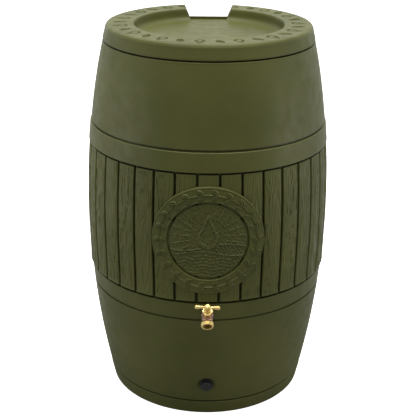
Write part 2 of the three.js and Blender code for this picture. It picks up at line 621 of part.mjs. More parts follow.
function drain() {
  const gasketFrom = DRAIN_PAD_Y + GAP;
  const nutFrom = gasketFrom + GASKET + GAP;
  const tubeEnd = nutFrom + LOCKNUT_THICKNESS + 4;
  const bushing = turnedRing([
    [DRAIN_BORE_RADIUS, DRAIN_FLANGE_FACE], [DRAIN_FLANGE_RADIUS, DRAIN_FLANGE_FACE],
    [DRAIN_FLANGE_RADIUS, DRAIN_SEAT_Y - GAP], [DRAIN_TUBE_RADIUS, DRAIN_SEAT_Y - GAP],
    [DRAIN_TUBE_RADIUS, tubeEnd], [DRAIN_BORE_RADIUS, tubeEnd],
  ], SIDES.ring);
  const gasket = washer(DRAIN_TUBE_RADIUS + GAP, DRAIN_FLANGE_RADIUS + 2, gasketFrom, gasketFrom + GASKET,
    SIDES.ring);
  const seal = washer(PLUG_SHANK_RADIUS + GAP, PLUG_CORNER_RADIUS - 2, PLUG_FOOT + GAP,
    PLUG_FOOT + GAP + PLUG_SEAL, SIDES.ring);
  const head = toSolid(hexagon(PLUG_CORNER_RADIUS, PLUG_FOOT - PLUG_HEAD, PLUG_FOOT));
  const shank = toSolid(disc(PLUG_SHANK_RADIUS, PLUG_FOOT - 1, PLUG_FOOT + PLUG_SHANK_LENGTH, SIDES.ring));
  const group = new THREE.Group();
  group.add(
    piece('drain_bushing', alongY(bushing, DRAIN_HEIGHT), BLACK_PLASTIC),
    piece('drain_gasket', alongY(gasket, DRAIN_HEIGHT), BLACK_RUBBER),
    piece('drain_locknut', lockNut(DRAIN_TUBE_RADIUS, nutFrom, DRAIN_HEIGHT), BLACK_PLASTIC),
    piece('drain_plug', alongY(toGeometry(head.add(shank)), DRAIN_HEIGHT), BLACK_PLASTIC),
    piece('drain_plug_seal', alongY(seal, DRAIN_HEIGHT), BLACK_RUBBER),
  );
  return group;
}

// ---- Overflow outlet ---------------------------------------------------------------------------------

function overflow() {
  const gasketFrom = OVERFLOW_SEAT_Y + GAP;
  const flatsFrom = gasketFrom + GASKET + GAP;
  const flatsTo = flatsFrom + 8;
  const nutTo = OVERFLOW_PAD_Y - GAP;
  const nutFrom = nutTo - LOCKNUT_THICKNESS;
  const shankFrom = nutFrom - 4;
  const nippleTo = flatsTo + 18;
  const flats = toSolid(hexagon(OVERFLOW_FLATS_CORNER_RADIUS, flatsFrom, flatsTo));
  const tube = toSolid(disc(OVERFLOW_SHANK_RADIUS, shankFrom, nippleTo, SIDES.ring));
  const bore = toSolid(disc(OVERFLOW_BORE_RADIUS, shankFrom - 5, nippleTo + 5, SIDES.ring));
  const gasket = washer(
    OVERFLOW_SHANK_RADIUS + GAP, OVERFLOW_SHANK_RADIUS + NUT_CORNER_REACH, gasketFrom, gasketFrom + GASKET,
    SIDES.ring);
  const group = new THREE.Group();
  group.add(
    piece('overflow_adapter', alongY(toGeometry(flats.add(tube).subtract(bore)), OVERFLOW_HEIGHT),
      BLACK_PLASTIC),
    piece('overflow_gasket', alongY(gasket, OVERFLOW_HEIGHT), BLACK_RUBBER),
    piece('overflow_locknut', lockNut(OVERFLOW_SHANK_RADIUS, nutFrom, OVERFLOW_HEIGHT), BLACK_PLASTIC),
  );
  return group;
}

// ---- Assembly ----------------------------------------------------------------------------------------

const rainBarrel = new THREE.Group();
rainBarrel.add(
  piece('barrel_body', toGeometry(barrelBody()), OLIVE_PLASTIC),
  piece('lid', toGeometry(lid()), OLIVE_PLASTIC),
  piece('screen_hoop', screenRing(SCREEN_RING_FOOT), BLACK_PLASTIC),
  piece('screen_mesh', screenMesh(), SCREEN_GREY),
  piece('screen_clamp_ring', screenRing(CLAMP_RING_FOOT), BLACK_PLASTIC),
  tap(),
  drain(),
  overflow(),
);

export default rainBarrel;
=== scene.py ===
# The rain barrel's looks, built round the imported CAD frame: the same shapes at full detail, with materials.
#
# Numbers in the shape functions are millimetres in the CAD frame: +Z up, the tap side faces -Y. `phi` is the
# angle round the barrel from the tap side (-Y) towards +X.

import math

import bpy
import numpy as np
from mathutils import Matrix, Vector


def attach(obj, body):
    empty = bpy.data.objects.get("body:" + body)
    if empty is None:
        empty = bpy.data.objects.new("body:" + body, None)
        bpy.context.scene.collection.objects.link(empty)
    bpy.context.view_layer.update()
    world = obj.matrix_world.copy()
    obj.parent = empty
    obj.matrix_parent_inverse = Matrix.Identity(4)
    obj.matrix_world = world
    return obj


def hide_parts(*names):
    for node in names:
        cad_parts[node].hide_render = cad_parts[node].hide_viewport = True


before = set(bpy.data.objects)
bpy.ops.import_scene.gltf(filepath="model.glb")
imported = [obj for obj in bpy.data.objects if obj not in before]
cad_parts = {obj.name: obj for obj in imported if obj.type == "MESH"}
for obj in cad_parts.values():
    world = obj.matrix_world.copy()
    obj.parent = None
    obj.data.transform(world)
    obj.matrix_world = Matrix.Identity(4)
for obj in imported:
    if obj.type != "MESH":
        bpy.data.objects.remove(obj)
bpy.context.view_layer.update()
MM = 0.001
SEED = 7

# ---- Sizes shared with the CAD parts ----

WAIST_RADIUS, WAIST_HEIGHT, SIDE_ARC_RADIUS = 306.0, 484.0, 2068.0
WALL = 5.0
BASE_LINE, LOWER_BAND_FOOT, STAVE_FOOT = 41.5, 291.0, 343.0
STAVE_HEAD, UPPER_BAND_HEAD, RIM_HEIGHT, HEIGHT = 664.0, 715.0, 912.0, 950.0
FOOT_RADIUS, RIM_OUTER, MOUTH_RADIUS, LEDGE_RADIUS, LEDGE_TOP = 241.0, 256.0, 246.5, 214.0, 898.0
STAVES = 36
STAVE_BACK = 9.5
MEDALLION_HEIGHT, MEDALLION_RADIUS, MEDALLION_DISC_RADIUS = 501.0, 134.5, 96.3
LID_FLOOR, LID_SHEET, LID_RIB_RADIUS, LID_RIB_FOOT = 920.0, 4.5, 245.5, 903.0
TAP_HEIGHT, DRAIN_HEIGHT, OVERFLOW_HEIGHT = 310.0, 94.0, 842.0
CHAMBER = (0.0, -331.0, 319.0)
STEM_LEAN, OUTLET_TURN = math.radians(30), math.radians(121)
HANDLE_TURN = math.radians(-2.7)


def side_radius(z):
    """Radius of the barrel's side arc at a height."""
    return WAIST_RADIUS - (SIDE_ARC_RADIUS - np.sqrt(SIDE_ARC_RADIUS**2 - (z - WAIST_HEIGHT) ** 2))


# ---- Number helpers ----


def smoothstep(low, high, x):
    t = np.clip((x - low) / (high - low), 0, 1)
    return t * t * (3 - 2 * t)


def soft_min(a, b, k):
    """The lower of a and b, rounded over about k where they cross."""
    h = np.clip(0.5 + 0.5 * (b - a) / k, 0, 1)
    return b + (a - b) * h - k * h * (1 - h)


def soft_max(a, b, k):
    return -soft_min(-a, -b, k)


def graded(low, high, coarse, *fine_zones):
    """Steps from low to high: coarse ones, and finer ones in each (from, to, step) zone."""
    marks = [np.arange(low, high, coarse)]
    for start, end, step in fine_zones:
        marks = [m[(m < start - step / 2) | (m > end + step / 2)] for m in marks]
        marks.append(np.arange(start, end + step / 2, step))
    return np.unique(np.concatenate([*marks, [low, high]]))


def fillet(corners, steps=5):
    """A profile from (r, z) or (r, z, fillet radius) corners, rounded where a corner has a radius."""
    points = [np.array(corners[0][:2], float)]
    for before, here, after in zip(corners, corners[1:], corners[2:]):
        corner = np.array(here[:2], float)
        size = here[2] if len(here) > 2 else 0
        if size == 0:
            points.append(corner)
            continue
        arms = [np.array(p[:2], float) - corner for p in (before, after)]
        lengths = [np.linalg.norm(a) for a in arms]
        units = [a / n for a, n in zip(arms, lengths)]
        half = math.acos(float(np.clip(units[0] @ units[1], -1, 1))) / 2
        back = min(size / math.tan(half), 0.48 * min(lengths))
        start, end = corner + units[0] * back, corner + units[1] * back
        for t in np.linspace(0, 1, steps + 1):
            points.append(start * (1 - t) ** 2 + corner * 2 * t * (1 - t) + end * t**2)
    points.append(np.array(corners[-1][:2], float))
    return np.array(points)


# ---- Mesh helpers ----


def linked_object(name, data):
    """An object in the scene with a mesh, camera or light."""
    obj = bpy.data.objects.new(name, data)
    bpy.context.scene.collection.objects.link(obj)
    return obj


def mesh_object(name, points, faces):
    """An object from points in millimetres and a list of faces."""
    mesh = bpy.data.meshes.new(name)
    mesh.from_pydata((np.asarray(points, float) * MM).tolist(), [], faces)
    mesh.validate()
    return linked_object(name, mesh)


def grid_faces(rows, cols, wrap_rows, wrap_cols):
    i = np.arange(rows if wrap_rows else rows - 1)[:, None]
    j = np.arange(cols if wrap_cols else cols - 1)[None, :]
    i2, j2 = (i + 1) % rows, (j + 1) % cols
    quads = [i * cols + j, i * cols + j2, i2 * cols + j2, i2 * cols + j]
    return np.stack(np.broadcast_arrays(*quads), -1).reshape(-1, 4).tolist()


def closed_rings(name, rings, tube=False):
    """A closed solid from rings of points (rows, columns, 3): a rod with a fan at each end, or a tube."""
    rows, cols, _ = rings.shape
    if tube:
        return mesh_object(name, rings.reshape(-1, 3), grid_faces(rows, cols, True, True))
    points = [rings.reshape(-1, 3), rings[0].mean(0)[None], rings[-1].mean(0)[None]]
    faces = grid_faces(rows, cols, False, True)
    last = (rows - 1) * cols
    for j in range(cols):
        k = (j + 1) % cols
        faces.append([rows * cols, k, j])
        faces.append([rows * cols + 1, last + j, last + k])
    return mesh_object(name, np.concatenate(points), faces)


def polar(r, phi, z):
    """Points at radii, angles from -Y towards +X, and heights."""
    r, phi, z = np.broadcast_arrays(r, phi, z)
    return np.stack([r * np.sin(phi), -r * np.cos(phi), z], -1)


def around(profile, angles, shape=None):
    """Rings about Z: points of a (r, z) profile at each angle from -Y, moved by shape(r, phi, z)."""
    profile = np.asarray(profile, float)
    r, phi = np.meshgrid(profile[:, 0], angles, indexing="ij")
    z = np.meshgrid(profile[:, 1], angles, indexing="ij")[0]
    if shape:
        r, z = shape(r, phi, z)
    return polar(r, phi, z)


def turn_angles(sides):
    return np.linspace(0, 2 * math.pi, sides, endpoint=False)


def revolve(name, profile, sides):
    """A solid of revolution about Z. A profile that starts off the axis makes a closed ring."""
    profile = np.asarray(profile, float)
    on_axis = profile[0, 0] == 0
    if on_axis:
        profile = profile[1:-1]
    return closed_rings(name, around(profile, turn_angles(sides)), tube=not on_axis)


def solid_rod(name, corners, sides=72):
    return revolve(name, fillet(corners, 4), sides)


def drill(radius, low, high, sides=48):
    """A plain rod about Z that cuts a hole."""
    return revolve("hole", [(0, low), (radius, low), (radius, high), (0, high)], sides)


def box_between(name, corners):
    """A six-sided solid from its four low corners and its four high corners, both in turn order."""
    faces = [[3, 2, 1, 0], [4, 5, 6, 7]] + [[i, (i + 1) % 4, (i + 1) % 4 + 4, i + 4] for i in range(4)]
    return mesh_object(name, corners, faces)


def bake_modifiers(obj):
    graph = bpy.context.evaluated_depsgraph_get()
    mesh = bpy.data.meshes.new_from_object(obj.evaluated_get(graph))
    obj.modifiers.clear()
    old, obj.data = obj.data, mesh
    bpy.data.meshes.remove(old)


def outward(obj):
    """Turns the faces of a closed mesh to point out."""
    mesh = obj.data
    mesh.calc_loop_triangles()
    co = np.zeros(len(mesh.vertices) * 3)
    mesh.vertices.foreach_get("co", co)
    tri = np.zeros(len(mesh.loop_triangles) * 3, np.int32)
    mesh.loop_triangles.foreach_get("vertices", tri)
    a, b, c = co.reshape(-1, 3)[tri.reshape(-1, 3)].transpose(1, 0, 2)
    if np.einsum("ij,ij->", a, np.cross(b, c)) < 0:
        mesh.flip_normals()
    return obj


def combine(obj, operation, *tools):
    """Adds ("UNION"), cuts ("DIFFERENCE") or keeps the overlap ("INTERSECT") of obj with each tool."""
    for tool in tools:
        outward(obj), outward(tool)
        step = obj.modifiers.new("combine", "BOOLEAN")
        step.operation, step.solver, step.object = operation, "MANIFOLD", tool
        bake_modifiers(obj)
        bpy.data.objects.remove(tool)
    return obj


def cast_together(obj, voxel, smoothing):
    """Remeshes joined solids evenly and softens their joints like a casting."""
    remesh = obj.modifiers.new("remesh", "REMESH")
    remesh.mode, remesh.voxel_size = "VOXEL", voxel * MM
    smooth = obj.modifiers.new("smooth", "SMOOTH")
    smooth.factor, smooth.iterations = 0.5, smoothing
    bake_modifiers(obj)
    return obj


def place(obj, matrix):
    obj.data.transform(matrix)
    return obj


def along_y(height):
    """Turns a piece made about Z so that it points along +Y at a height."""
    return Matrix.Translation((0, 0, height * MM)) @ Matrix.Rotation(-math.pi / 2, 4, "X")


def from_chamber(turn, spin=0.0):
    """Spins a piece made about Z, leans it back by a turn about X and puts it at the tap's chamber."""
    return (
        Matrix.Translation([c * MM for c in CHAMBER])
        @ Matrix.Rotation(turn, 4, "X")
        @ Matrix.Rotation(spin, 4, "Z")
    )


# Degrees from which an edge is shaded sharp.
WALL_EDGE, RELIEF_EDGE, FITTING_EDGE = 38, 60, 40


def finish_piece(obj, body, nodes, material, sharp_angle=FITTING_EDGE):
    """Shading, material and the links to the CAD frame."""
    outward(obj)
    obj.data.shade_smooth()
    obj.data.set_sharp_from_angle(angle=math.radians(sharp_angle))
    obj.data.materials.clear()
    obj.data.materials.append(material)
    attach(obj, body)
    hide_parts(*nodes)
    return obj


# ---- Barrel ----

# Flat seats for the fittings: (height, outward direction, seat distance, pad distance, hole radius).
PORTS = {
    "tap": (TAP_HEIGHT, -1, 297.0, 287.0, 11.0),
    "drain": (DRAIN_HEIGHT, -1, 264.0, 254.0, 12.4),
    "overflow": (OVERFLOW_HEIGHT, 1, 269.0, 259.0, 13.6),
}
SEAT_RADIUS, PAD_RADIUS = 21.0, 24.0
PORT_REACH = 31.0
EDGE_SOFTNESS = 1.3
LINE_DEPTH, LINE_WIDTH = 7.0, 2.3
BASE_LINE_DEPTH, BASE_LINE_WIDTH = 5.0, 2.0


def line_dip(z, at, depth=LINE_DEPTH, width=LINE_WIDTH):
    """Depth of a moulded horizontal line at each height."""
    return depth * np.exp(-(np.abs(z - at) / width) ** 4)


def lower_proud(z):
    """How far the lower zone stands proud of the arc: base band, smooth zone, lower band, step in."""
    proud = -0.8 + 0.8 * smoothstep(BASE_LINE + 3, BASE_LINE - 3, z)
    proud = proud - 0.2 * smoothstep(LOWER_BAND_FOOT - 2, LOWER_BAND_FOOT + 2, z)
    proud = proud - line_dip(z, BASE_LINE, BASE_LINE_DEPTH, BASE_LINE_WIDTH)
    proud = proud - line_dip(z, LOWER_BAND_FOOT)
    return proud - 10.0 * smoothstep(337.0, 338.6, z)


def upper_proud(z):
    """How far the upper zone stands proud of the arc: step out, upper band, smooth zone, neck."""
    band = 1.7 + 8.2 * (smoothstep(664.2, 666.4, z) - 1)
    smooth = np.interp(z, [720, 800, 850, 890, 905], [-0.4, -0.45, -0.7, -1.3, -1.9])
    proud = band + (smooth - band) * smoothstep(UPPER_BAND_HEAD - 3, UPPER_BAND_HEAD + 1, z)
    return proud - line_dip(z, UPPER_BAND_HEAD)


def side_profile(heights, proud):
    """Radius and height along the side arc, with the surface moved out by proud."""
    return np.stack([side_radius(heights) + proud, heights], -1)


def port_shape(ports, outer):
    """A function that flattens the wall round the ports: seats on the outer side, pads on the inner side."""

    def shape(r, phi, z):
        for height, direction, seat, pad, _ in ports:
            facing = -np.cos(phi) * direction
            across = r * np.sin(phi)
            away = np.hypot(across, z - height)
            flat = (seat if outer else pad) / np.where(facing > 0.5, facing, 1)
            radius = SEAT_RADIUS if outer else PAD_RADIUS
            share = smoothstep(radius + EDGE_SOFTNESS, radius - EDGE_SOFTNESS, away) * (facing > 0.5)
            target = np.minimum(r, flat)
            r = r + (target - r) * share
        return r, z

    return shape


def wall_angles(ports):
    """Angles round the wall, close together where ports are."""
    fine = math.degrees(PORT_REACH / 260)
    middle = 0.0 if any(port[1] < 0 for port in ports) else 180.0
    degrees = graded(middle - 180, middle + 180, 2.0, (middle - fine, middle + fine, 0.27))[:-1]
    return np.radians(degrees)


def shell(name, outer, inner, ports):
    """One closed zone of the barrel's wall from its outer and inner profiles, with its ports."""
    angles = wall_angles(ports)
    rings = np.concatenate([
        around(outer, angles, port_shape(ports, True)),
        around(inner, angles, port_shape(ports, False)),
    ])
    starts_near_axis = outer[0][0] < 20
    obj = closed_rings(name, rings, tube=not starts_near_axis)
    for height, direction, seat, pad, radius in ports:
        low, high = sorted((direction * (pad - 12), direction * (seat + 12)))
        combine(obj, "DIFFERENCE", place(drill(radius, low, high, 64), along_y(height)))
    return obj


def lower_shell():
    heights = graded(9, STAVE_FOOT, 7, (36, 47, 0.8), (60, 128, 1.3), (285, 343, 1.2))
    turn = np.radians(np.linspace(0, 90, 9))
    edge = side_radius(9.0) - FOOT_RADIUS
    foot = np.stack([FOOT_RADIUS + edge * np.sin(turn), 9 - 9 * np.cos(turn)], -1)[:-1]
    side = side_profile(heights, lower_proud(heights))
    base = fillet([(4, 5), (140, 5, 8), (150, 3, 8), (228, 3, 6), (233, 0, 2), (FOOT_RADIUS, 0)], 4)[:-1]
    top = np.array([(side_radius(STAVE_FOOT) - 8, STAVE_FOOT + 1.5)])
    inside = graded(14, STAVE_FOOT, 10, (64, 124, 1.6), (280, 340, 1.6))[::-1]
    inner = side_profile(inside, -WALL - (STAVE_BACK - WALL) * smoothstep(330, 343, inside))
    floor = fillet([(side_radius(14.0) - WALL, 14), (FOOT_RADIUS - 6, 8.5, 5), (150, 8.5, 8),
                    (140, 10.5, 8), (4, 10.5)], 4)[1:]
    outer = np.concatenate([base, foot, side, top])
    return shell("barrel_lower", outer, np.concatenate([inner, floor]), [PORTS["tap"], PORTS["drain"]])


def upper_shell():
    heights = graded(659, 905, 7, (659, 668, 0.8), (709, 720, 0.8), (811, 873, 1.3))
    side = side_profile(heights, upper_proud(heights))
    neck_r = side_radius(905.0) + upper_proud(np.array(905.0))
    rim = fillet([
        (neck_r, 905), (neck_r - 0.6, 910.4, 1.6), (RIM_OUTER - 2, RIM_HEIGHT, 0.8),
        (MOUTH_RADIUS, RIM_HEIGHT, 2.2), (MOUTH_RADIUS, LEDGE_TOP, 2), (LEDGE_RADIUS, LEDGE_TOP, 2),
        (LEDGE_RADIUS, LEDGE_TOP - 5, 2), (side_radius(871.0) - WALL, 871, 8),
        (side_radius(860.0) - WALL, 860),
    ], 4)[1:]
    inside = graded(659, 870, 10, (814, 870, 1.6))[::-1][1:]
    inner = side_profile(inside, -WALL - (STAVE_BACK - WALL) * smoothstep(675, 662, inside))
    return shell("barrel_upper", np.concatenate([side, rim[:-1]]), inner, [PORTS["overflow"]])


GRAIN_DEPTH, GRAIN_SPACING = 1.0, 4.4
FIBRE_HEIGHT = 0.16
KNOT_SHARE = 0.35
GROOVE_DEPTH, GROOVE_WIDTH = 8.5, 2.75
STAVE_TOP = 661.4


def wood_relief(rng, across, z):
    """Moulded grain of one stave: nested arches with wavering lines, and sometimes a knot."""
    centre, peak = rng.uniform(-12, 12), rng.uniform(STAVE_FOOT - 150, STAVE_HEAD + 150)
    stretch, tilt = rng.uniform(0.035, 0.07), rng.uniform(-0.03, 0.03)
    waver = sum(
        size * np.sin(z / length + rng.uniform(0, 6.3)) for size, length in [(2.6, 55), (1.2, 23), (0.5, 9)]
    )
    aside = across - centre + waver + tilt * (z - WAIST_HEIGHT)
    ring = np.hypot(aside, (z - peak) * stretch) / GRAIN_SPACING
    if rng.random() < KNOT_SHARE:
        knot_x, knot_z = rng.uniform(-10, 10), rng.uniform(STAVE_FOOT + 40, STAVE_HEAD - 40)
        ring = ring + 2.4 * np.exp(-((across - knot_x) / 7) ** 2 - ((z - knot_z) / 26) ** 2)
    lines = (0.5 + 0.5 * np.cos(2 * math.pi * ring)) ** 2.5
    fibre = 0
    for _ in range(3):
        pitch, length, start = rng.uniform(1.1, 2.9), rng.uniform(30, 90), rng.uniform(0, 6.3)
        fibre = fibre + FIBRE_HEIGHT * np.sin(across * pitch + 2.5 * np.sin(z / length) + start)
    return -GRAIN_DEPTH * lines + fibre


def stave_ring_angles(first, count):
    """Angles across `count` staves from one gap to another, close together at the gaps."""
    half = side_radius(WAIST_HEIGHT) * math.pi / STAVES
    near = np.array([0, 1.1, 1.9, 2.5, 3.1, 3.7, 4.5])
    inner = np.linspace(5.2, 2 * half - 5.2, 30)
    offsets = np.concatenate([near, inner, 2 * half - near[::-1]])[:-1] / (2 * half)
    steps = np.concatenate([first + i + offsets for i in range(count)] + [[first + count]])
    return (steps - 0.5) * 2 * math.pi / STAVES


def staves(name, first, count):
    """A run of moulded staves as one closed solid that ends in the middle of a gap on both sides."""
    phi = stave_ring_angles(first, count)
    z = graded(STAVE_FOOT + 0.6, STAVE_TOP, 3.2, (STAVE_FOOT + 0.6, 350, 1.2), (656, STAVE_TOP, 0.9))
    zz, pp = np.meshgrid(z, phi, indexing="ij")
    turn = 2 * math.pi / STAVES
    index = np.floor(pp / turn + 0.5)
    across = (pp - index * turn) * side_radius(WAIST_HEIGHT)
    gap = WAIST_RADIUS * turn / 2 - np.abs(across)
    proud = 0.2 + 2.8 * np.exp(-(zz - STAVE_FOOT) / 22)
    proud -= GROOVE_DEPTH * np.exp(-((gap / GROOVE_WIDTH) ** 4)) + 0.5 * (across / 26) ** 2
    fade = smoothstep(2, 6, gap) * smoothstep(STAVE_FOOT, 352, zz) * smoothstep(662, 655, zz)
    for number in range(first, first + count + 1):
        rng = np.random.default_rng(SEED + number % STAVES)
        mask = index == number
        proud[mask] += wood_relief(rng, across[mask], zz[mask]) * fade[mask]
    proud -= 2.0 * smoothstep(658.5, 661.5, zz) ** 2 + 1.0 * smoothstep(344.6, 343.5, zz)

    def backing(depth, height):
        return polar(side_radius(height) - depth, phi, height)[None]

    rings = np.concatenate([
        backing(3.5, STAVE_FOOT - 0.3), polar(side_radius(zz) + proud, pp, zz),
        backing(7.0, 662.0), backing(7.6, 666),
        *[backing(STAVE_BACK, h) for h in np.linspace(659, STAVE_FOOT - 0.3, 34)],
    ])
    rows, cols, _ = rings.shape
    faces = grid_faces(rows, cols, True, False)
    faces.append([i * cols for i in range(rows)])
    faces.append([i * cols + cols - 1 for i in range(rows)][::-1])
    return mesh_object(name, rings.reshape(-1, 3), faces)


def leaf(x, y, cx, cy, angle, length, width):
    """Distance inside a leaf shape with pointed ends: above 0 inside."""
    u = (x - cx) * math.cos(angle) + (y - cy) * math.sin(angle)
    v = -(x - cx) * math.sin(angle) + (y - cy) * math.cos(angle)
    return width * (1 - (2 * u / length) ** 2) - np.abs(v)


def drop_shape(x, y, size):
    """Distance inside a water drop with its point up: above 0 inside."""
    round_part = size - np.hypot(x, y + size * 0.5)
    cone = (size * 1.9 - y) * 0.42 - np.abs(x)
    tip = np.where(y > -size * 0.1, cone * 0.9, -99.0)
    return np.maximum(round_part, tip)


def raised(distance, soft):
    """0 outside a shape to 1 inside it, from the distance inside and the softness of its edge."""
    return smoothstep(-soft, soft, distance)


def band_line(distance, width):
    return raised(width - np.abs(distance), 0.6)


LEAF_PAIRS = 22
LEAF_LEAN = 0.72


def wreath(rho, theta):
    """Leaf pairs along a stem all round the medallion's ring."""
    middle = (MEDALLION_RADIUS + MEDALLION_DISC_RADIUS) / 2
    pitch = 2 * math.pi / LEAF_PAIRS
    u = ((theta + pitch / 2) % pitch - pitch / 2) * middle
    v = rho - middle
    height = band_line(v, 1.0)
    for side in (-1, 1):
        lean = side * LEAF_LEAN
        blade = leaf(u, v, 1.5, side * 7.0, lean, 18.5, 4.4)
        vein = np.abs(-(u - 1.5) * math.sin(lean) + (v - side * 7.0) * math.cos(lean))
        height = np.maximum(height, raised(blade, 0.6) * (1 - 0.7 * raised(0.6 - vein, 0.5)))
    return height


def countryside(x, y):
    """A drop with rays round it, over hatched hills and rippled water."""
    drop = drop_shape(x, y - 20, 25)
    height = raised(drop, 0.6) - 0.75 * raised(drop_shape(x, y - 20, 19), 0.6)
    outside = raised(-drop - 4, 1)
    first = -16 + 9 * np.sin(x / 34 + 0.4)
    second = -31 + 6 * np.sin(x / 27 + 2.2)
    lines = np.maximum(band_line(y - first, 1.7), band_line(y - second, 1.7))
    hatch = np.abs((x * 0.8 + y * 0.6) % 7 - 3.5)
    between = raised(first - y - 4, 1) * raised(y - second - 4, 1)
    lines = np.maximum(lines, 0.6 * band_line(hatch, 0.9) * between)
    wave = np.abs((y + 2.0 * np.sin(x / 6.5) + 40) % 8.5 - 4.25)
    lines = np.maximum(lines, 0.8 * band_line(wave, 1.2) * raised(second - y - 5, 1))
    bearing = np.arctan2(y - 14, x)
    ray = np.abs((bearing + math.pi / 24) % (math.pi / 12) - math.pi / 24) * np.hypot(x, y - 14)
    far = raised(np.hypot(x, y - 14) - 42, 1) * raised(y - first - 6, 1)
    lines = np.maximum(lines, 0.7 * band_line(ray, 1.1) * far)
    return height + lines * outside


def mottle(x, y):
    """Uneven tooling of the sunk disc."""
    return sum(
        np.sin(x / a + 1.7 * np.sin(y / b) + c) * np.sin(y / d + 1.3 * np.sin(x / a * 0.7) + c)
        for a, b, c, d in [(2.1, 5.3, 0.3, 2.4), (3.4, 7.9, 2.0, 2.9), (1.5, 3.7, 4.1, 1.7)]
    )


WREATH_HEIGHT, PICTURE_HEIGHT, MOTTLE_HEIGHT = 3.0, 2.5, 0.55


def medallion():
    """The round badge on the front: a raised ring with a wreath round a sunk disc with a landscape."""
    fine = [(92, 101.5, 0.6), (129.5, 135.8, 0.45)]
    rho = graded(2.0, 135.8, 1.25, *fine)
    rr, tt = np.meshgrid(rho, turn_angles(560), indexing="ij")
    x, y = rr * np.cos(tt), rr * np.sin(tt)
    proud = 1.2 + 3.8 * smoothstep(MEDALLION_DISC_RADIUS - 0.2, MEDALLION_DISC_RADIUS + 1.6, rr)
    for edge in (MEDALLION_DISC_RADIUS + 3.8, MEDALLION_RADIUS - 2.6):
        proud = proud + 0.8 * band_line(rr - edge, 1.2)
    proud = proud - 6.5 * np.exp(-(((rr - MEDALLION_DISC_RADIUS + 1.6) / 1.5) ** 4))
    proud = proud + WREATH_HEIGHT * wreath(rr, tt) * raised(rr - 102.5, 0.8) * raised(129 - rr, 0.8)
    picture = PICTURE_HEIGHT * countryside(x, y) + MOTTLE_HEIGHT * mottle(x, y)
    proud = proud + picture * raised(91 - rr, 1.5)
    proud = proud - 14 * smoothstep(MEDALLION_RADIUS - 1.0, MEDALLION_RADIUS + 1.3, rr) ** 1.5

    def wrapped(px, py, stand):
        z = MEDALLION_HEIGHT + py
        return polar(side_radius(z) + stand, px / WAIST_RADIUS, z)

    front = wrapped(x, y, proud)
    back = wrapped(x[[-1, 0]], y[[-1, 0]], -9.2)
    return closed_rings("barrel_medallion", np.concatenate([front, back]))


def build_barrel(looks):
    olive, grained = looks["olive_polyethylene"], looks["olive_grained"]
    for obj, look, angle in [
        (lower_shell(), olive, WALL_EDGE),
        (upper_shell(), olive, WALL_EDGE),
        (staves("barrel_staves_front", -8, 17), grained, RELIEF_EDGE),
        (staves("barrel_staves_back", 9, 19), grained, RELIEF_EDGE),
        (medallion(), olive, RELIEF_EDGE),
    ]:
        finish_piece(obj, "barrel", ["barrel_body"], look, angle)


# ---- Lid ----

NOTCH_LIP_Y, NOTCH_LIP_BACK, LIP_TOP = 195.5, 199.0, 926.5
NOTCH_HALF_WIDTH, NOTCH_MOUTH_Y, NOTCH_FLARE, NOTCH_SLOPE = 58.7, 182, 0.074, 0.42
MOTIFS, MOTIF_RADIUS, MOTIF_DEPTH, MOTIF_LEAN = 15, 217.0, 3.2, 1.2


def notch_half_width(y, z):
    """Half the notch's width: it grows towards the back and towards the top."""
    return NOTCH_HALF_WIDTH + NOTCH_FLARE * (y - NOTCH_MOUTH_Y) - NOTCH_SLOPE * (HEIGHT - z)


def recess_profile():
    """Radius and height of the lid's top: flat floor, elliptical cove, short steep wall, rim."""
    turn = np.radians(np.linspace(0, 90, 12))
    cove = np.stack([161 + 20.5 * np.sin(turn), 935 - 15 * np.cos(turn)], -1)
    wall = [(182.3, 943.0), (183.0, 947.2), (184.2, 949.3), (185.8, HEIGHT), (300, HEIGHT)]
    return np.concatenate([[(0, LID_FLOOR)], cove, wall])


def rim_motif(r, theta):
    """Sunk pattern on the lid's rim: leaves and open drops by turns."""
    pitch = 2 * math.pi / MOTIFS
    u = (theta % pitch - pitch / 2) * MOTIF_RADIUS
    v = r - MOTIF_RADIUS
    blade = leaf(u, v, -22.5, 0, MOTIF_LEAN, 38, 8.5)
    vein = np.abs((u + 22.5) * math.sin(MOTIF_LEAN) - v * math.cos(MOTIF_LEAN))
    depth = raised(blade, 0.7) * (1 - raised(1.2 - vein, 0.5))
    drop = drop_shape(u - 22.5, v - 1, 12)
    return np.maximum(depth, raised(drop, 0.7) * (1 - raised(drop - 4.8, 0.7)))


def lid_top(r, phi):
    """Height of the lid's top surface: floor, cove, rim with its pattern, and the notch."""
    x, y = r * np.sin(phi), -r * np.cos(phi)
    profile = recess_profile()
    rim = np.interp(r, profile[:, 0], profile[:, 1])
    on_rim = raised(r - 197, 1.5) * raised(237 - r, 1.5)
    rim_top = rim - MOTIF_DEPTH * rim_motif(r, phi) * on_rim
    wall = HEIGHT - (notch_half_width(y, HEIGHT) - np.abs(x)) / NOTCH_SLOPE
    notch = soft_max(wall, np.full_like(r, LID_FLOOR), 4.0)
    rounding = 0.01 + 3.5 * smoothstep(921, 932, rim)
    return np.where(y > 60, soft_min(rim_top, notch, rounding), rim_top)


def lip_bar():
    """The low lip across the notch, with rounded edges."""
    front, back = NOTCH_LIP_Y, NOTCH_LIP_BACK + 0.2
    loop = fillet([(front + 1, 916), (front, 916), (front, LIP_TOP, 1.1), (back, LIP_TOP, 1.0), (back, 916),
                   (front + 1, 916)])[:-1]
    rings = [np.stack([np.full(len(loop), x), loop[:, 0], loop[:, 1]], -1) for x in (-50.5, 50.5)]
    return closed_rings("lip", np.stack(rings))


def lid_angles():
    """Angles for the lid's top: close together along the notch's walls, which are at the back (180)."""
    degrees = graded(0, 360, 0.4, (160, 168.5, 0.22), (191.5, 200, 0.22))[:-1]
    return np.radians(degrees)


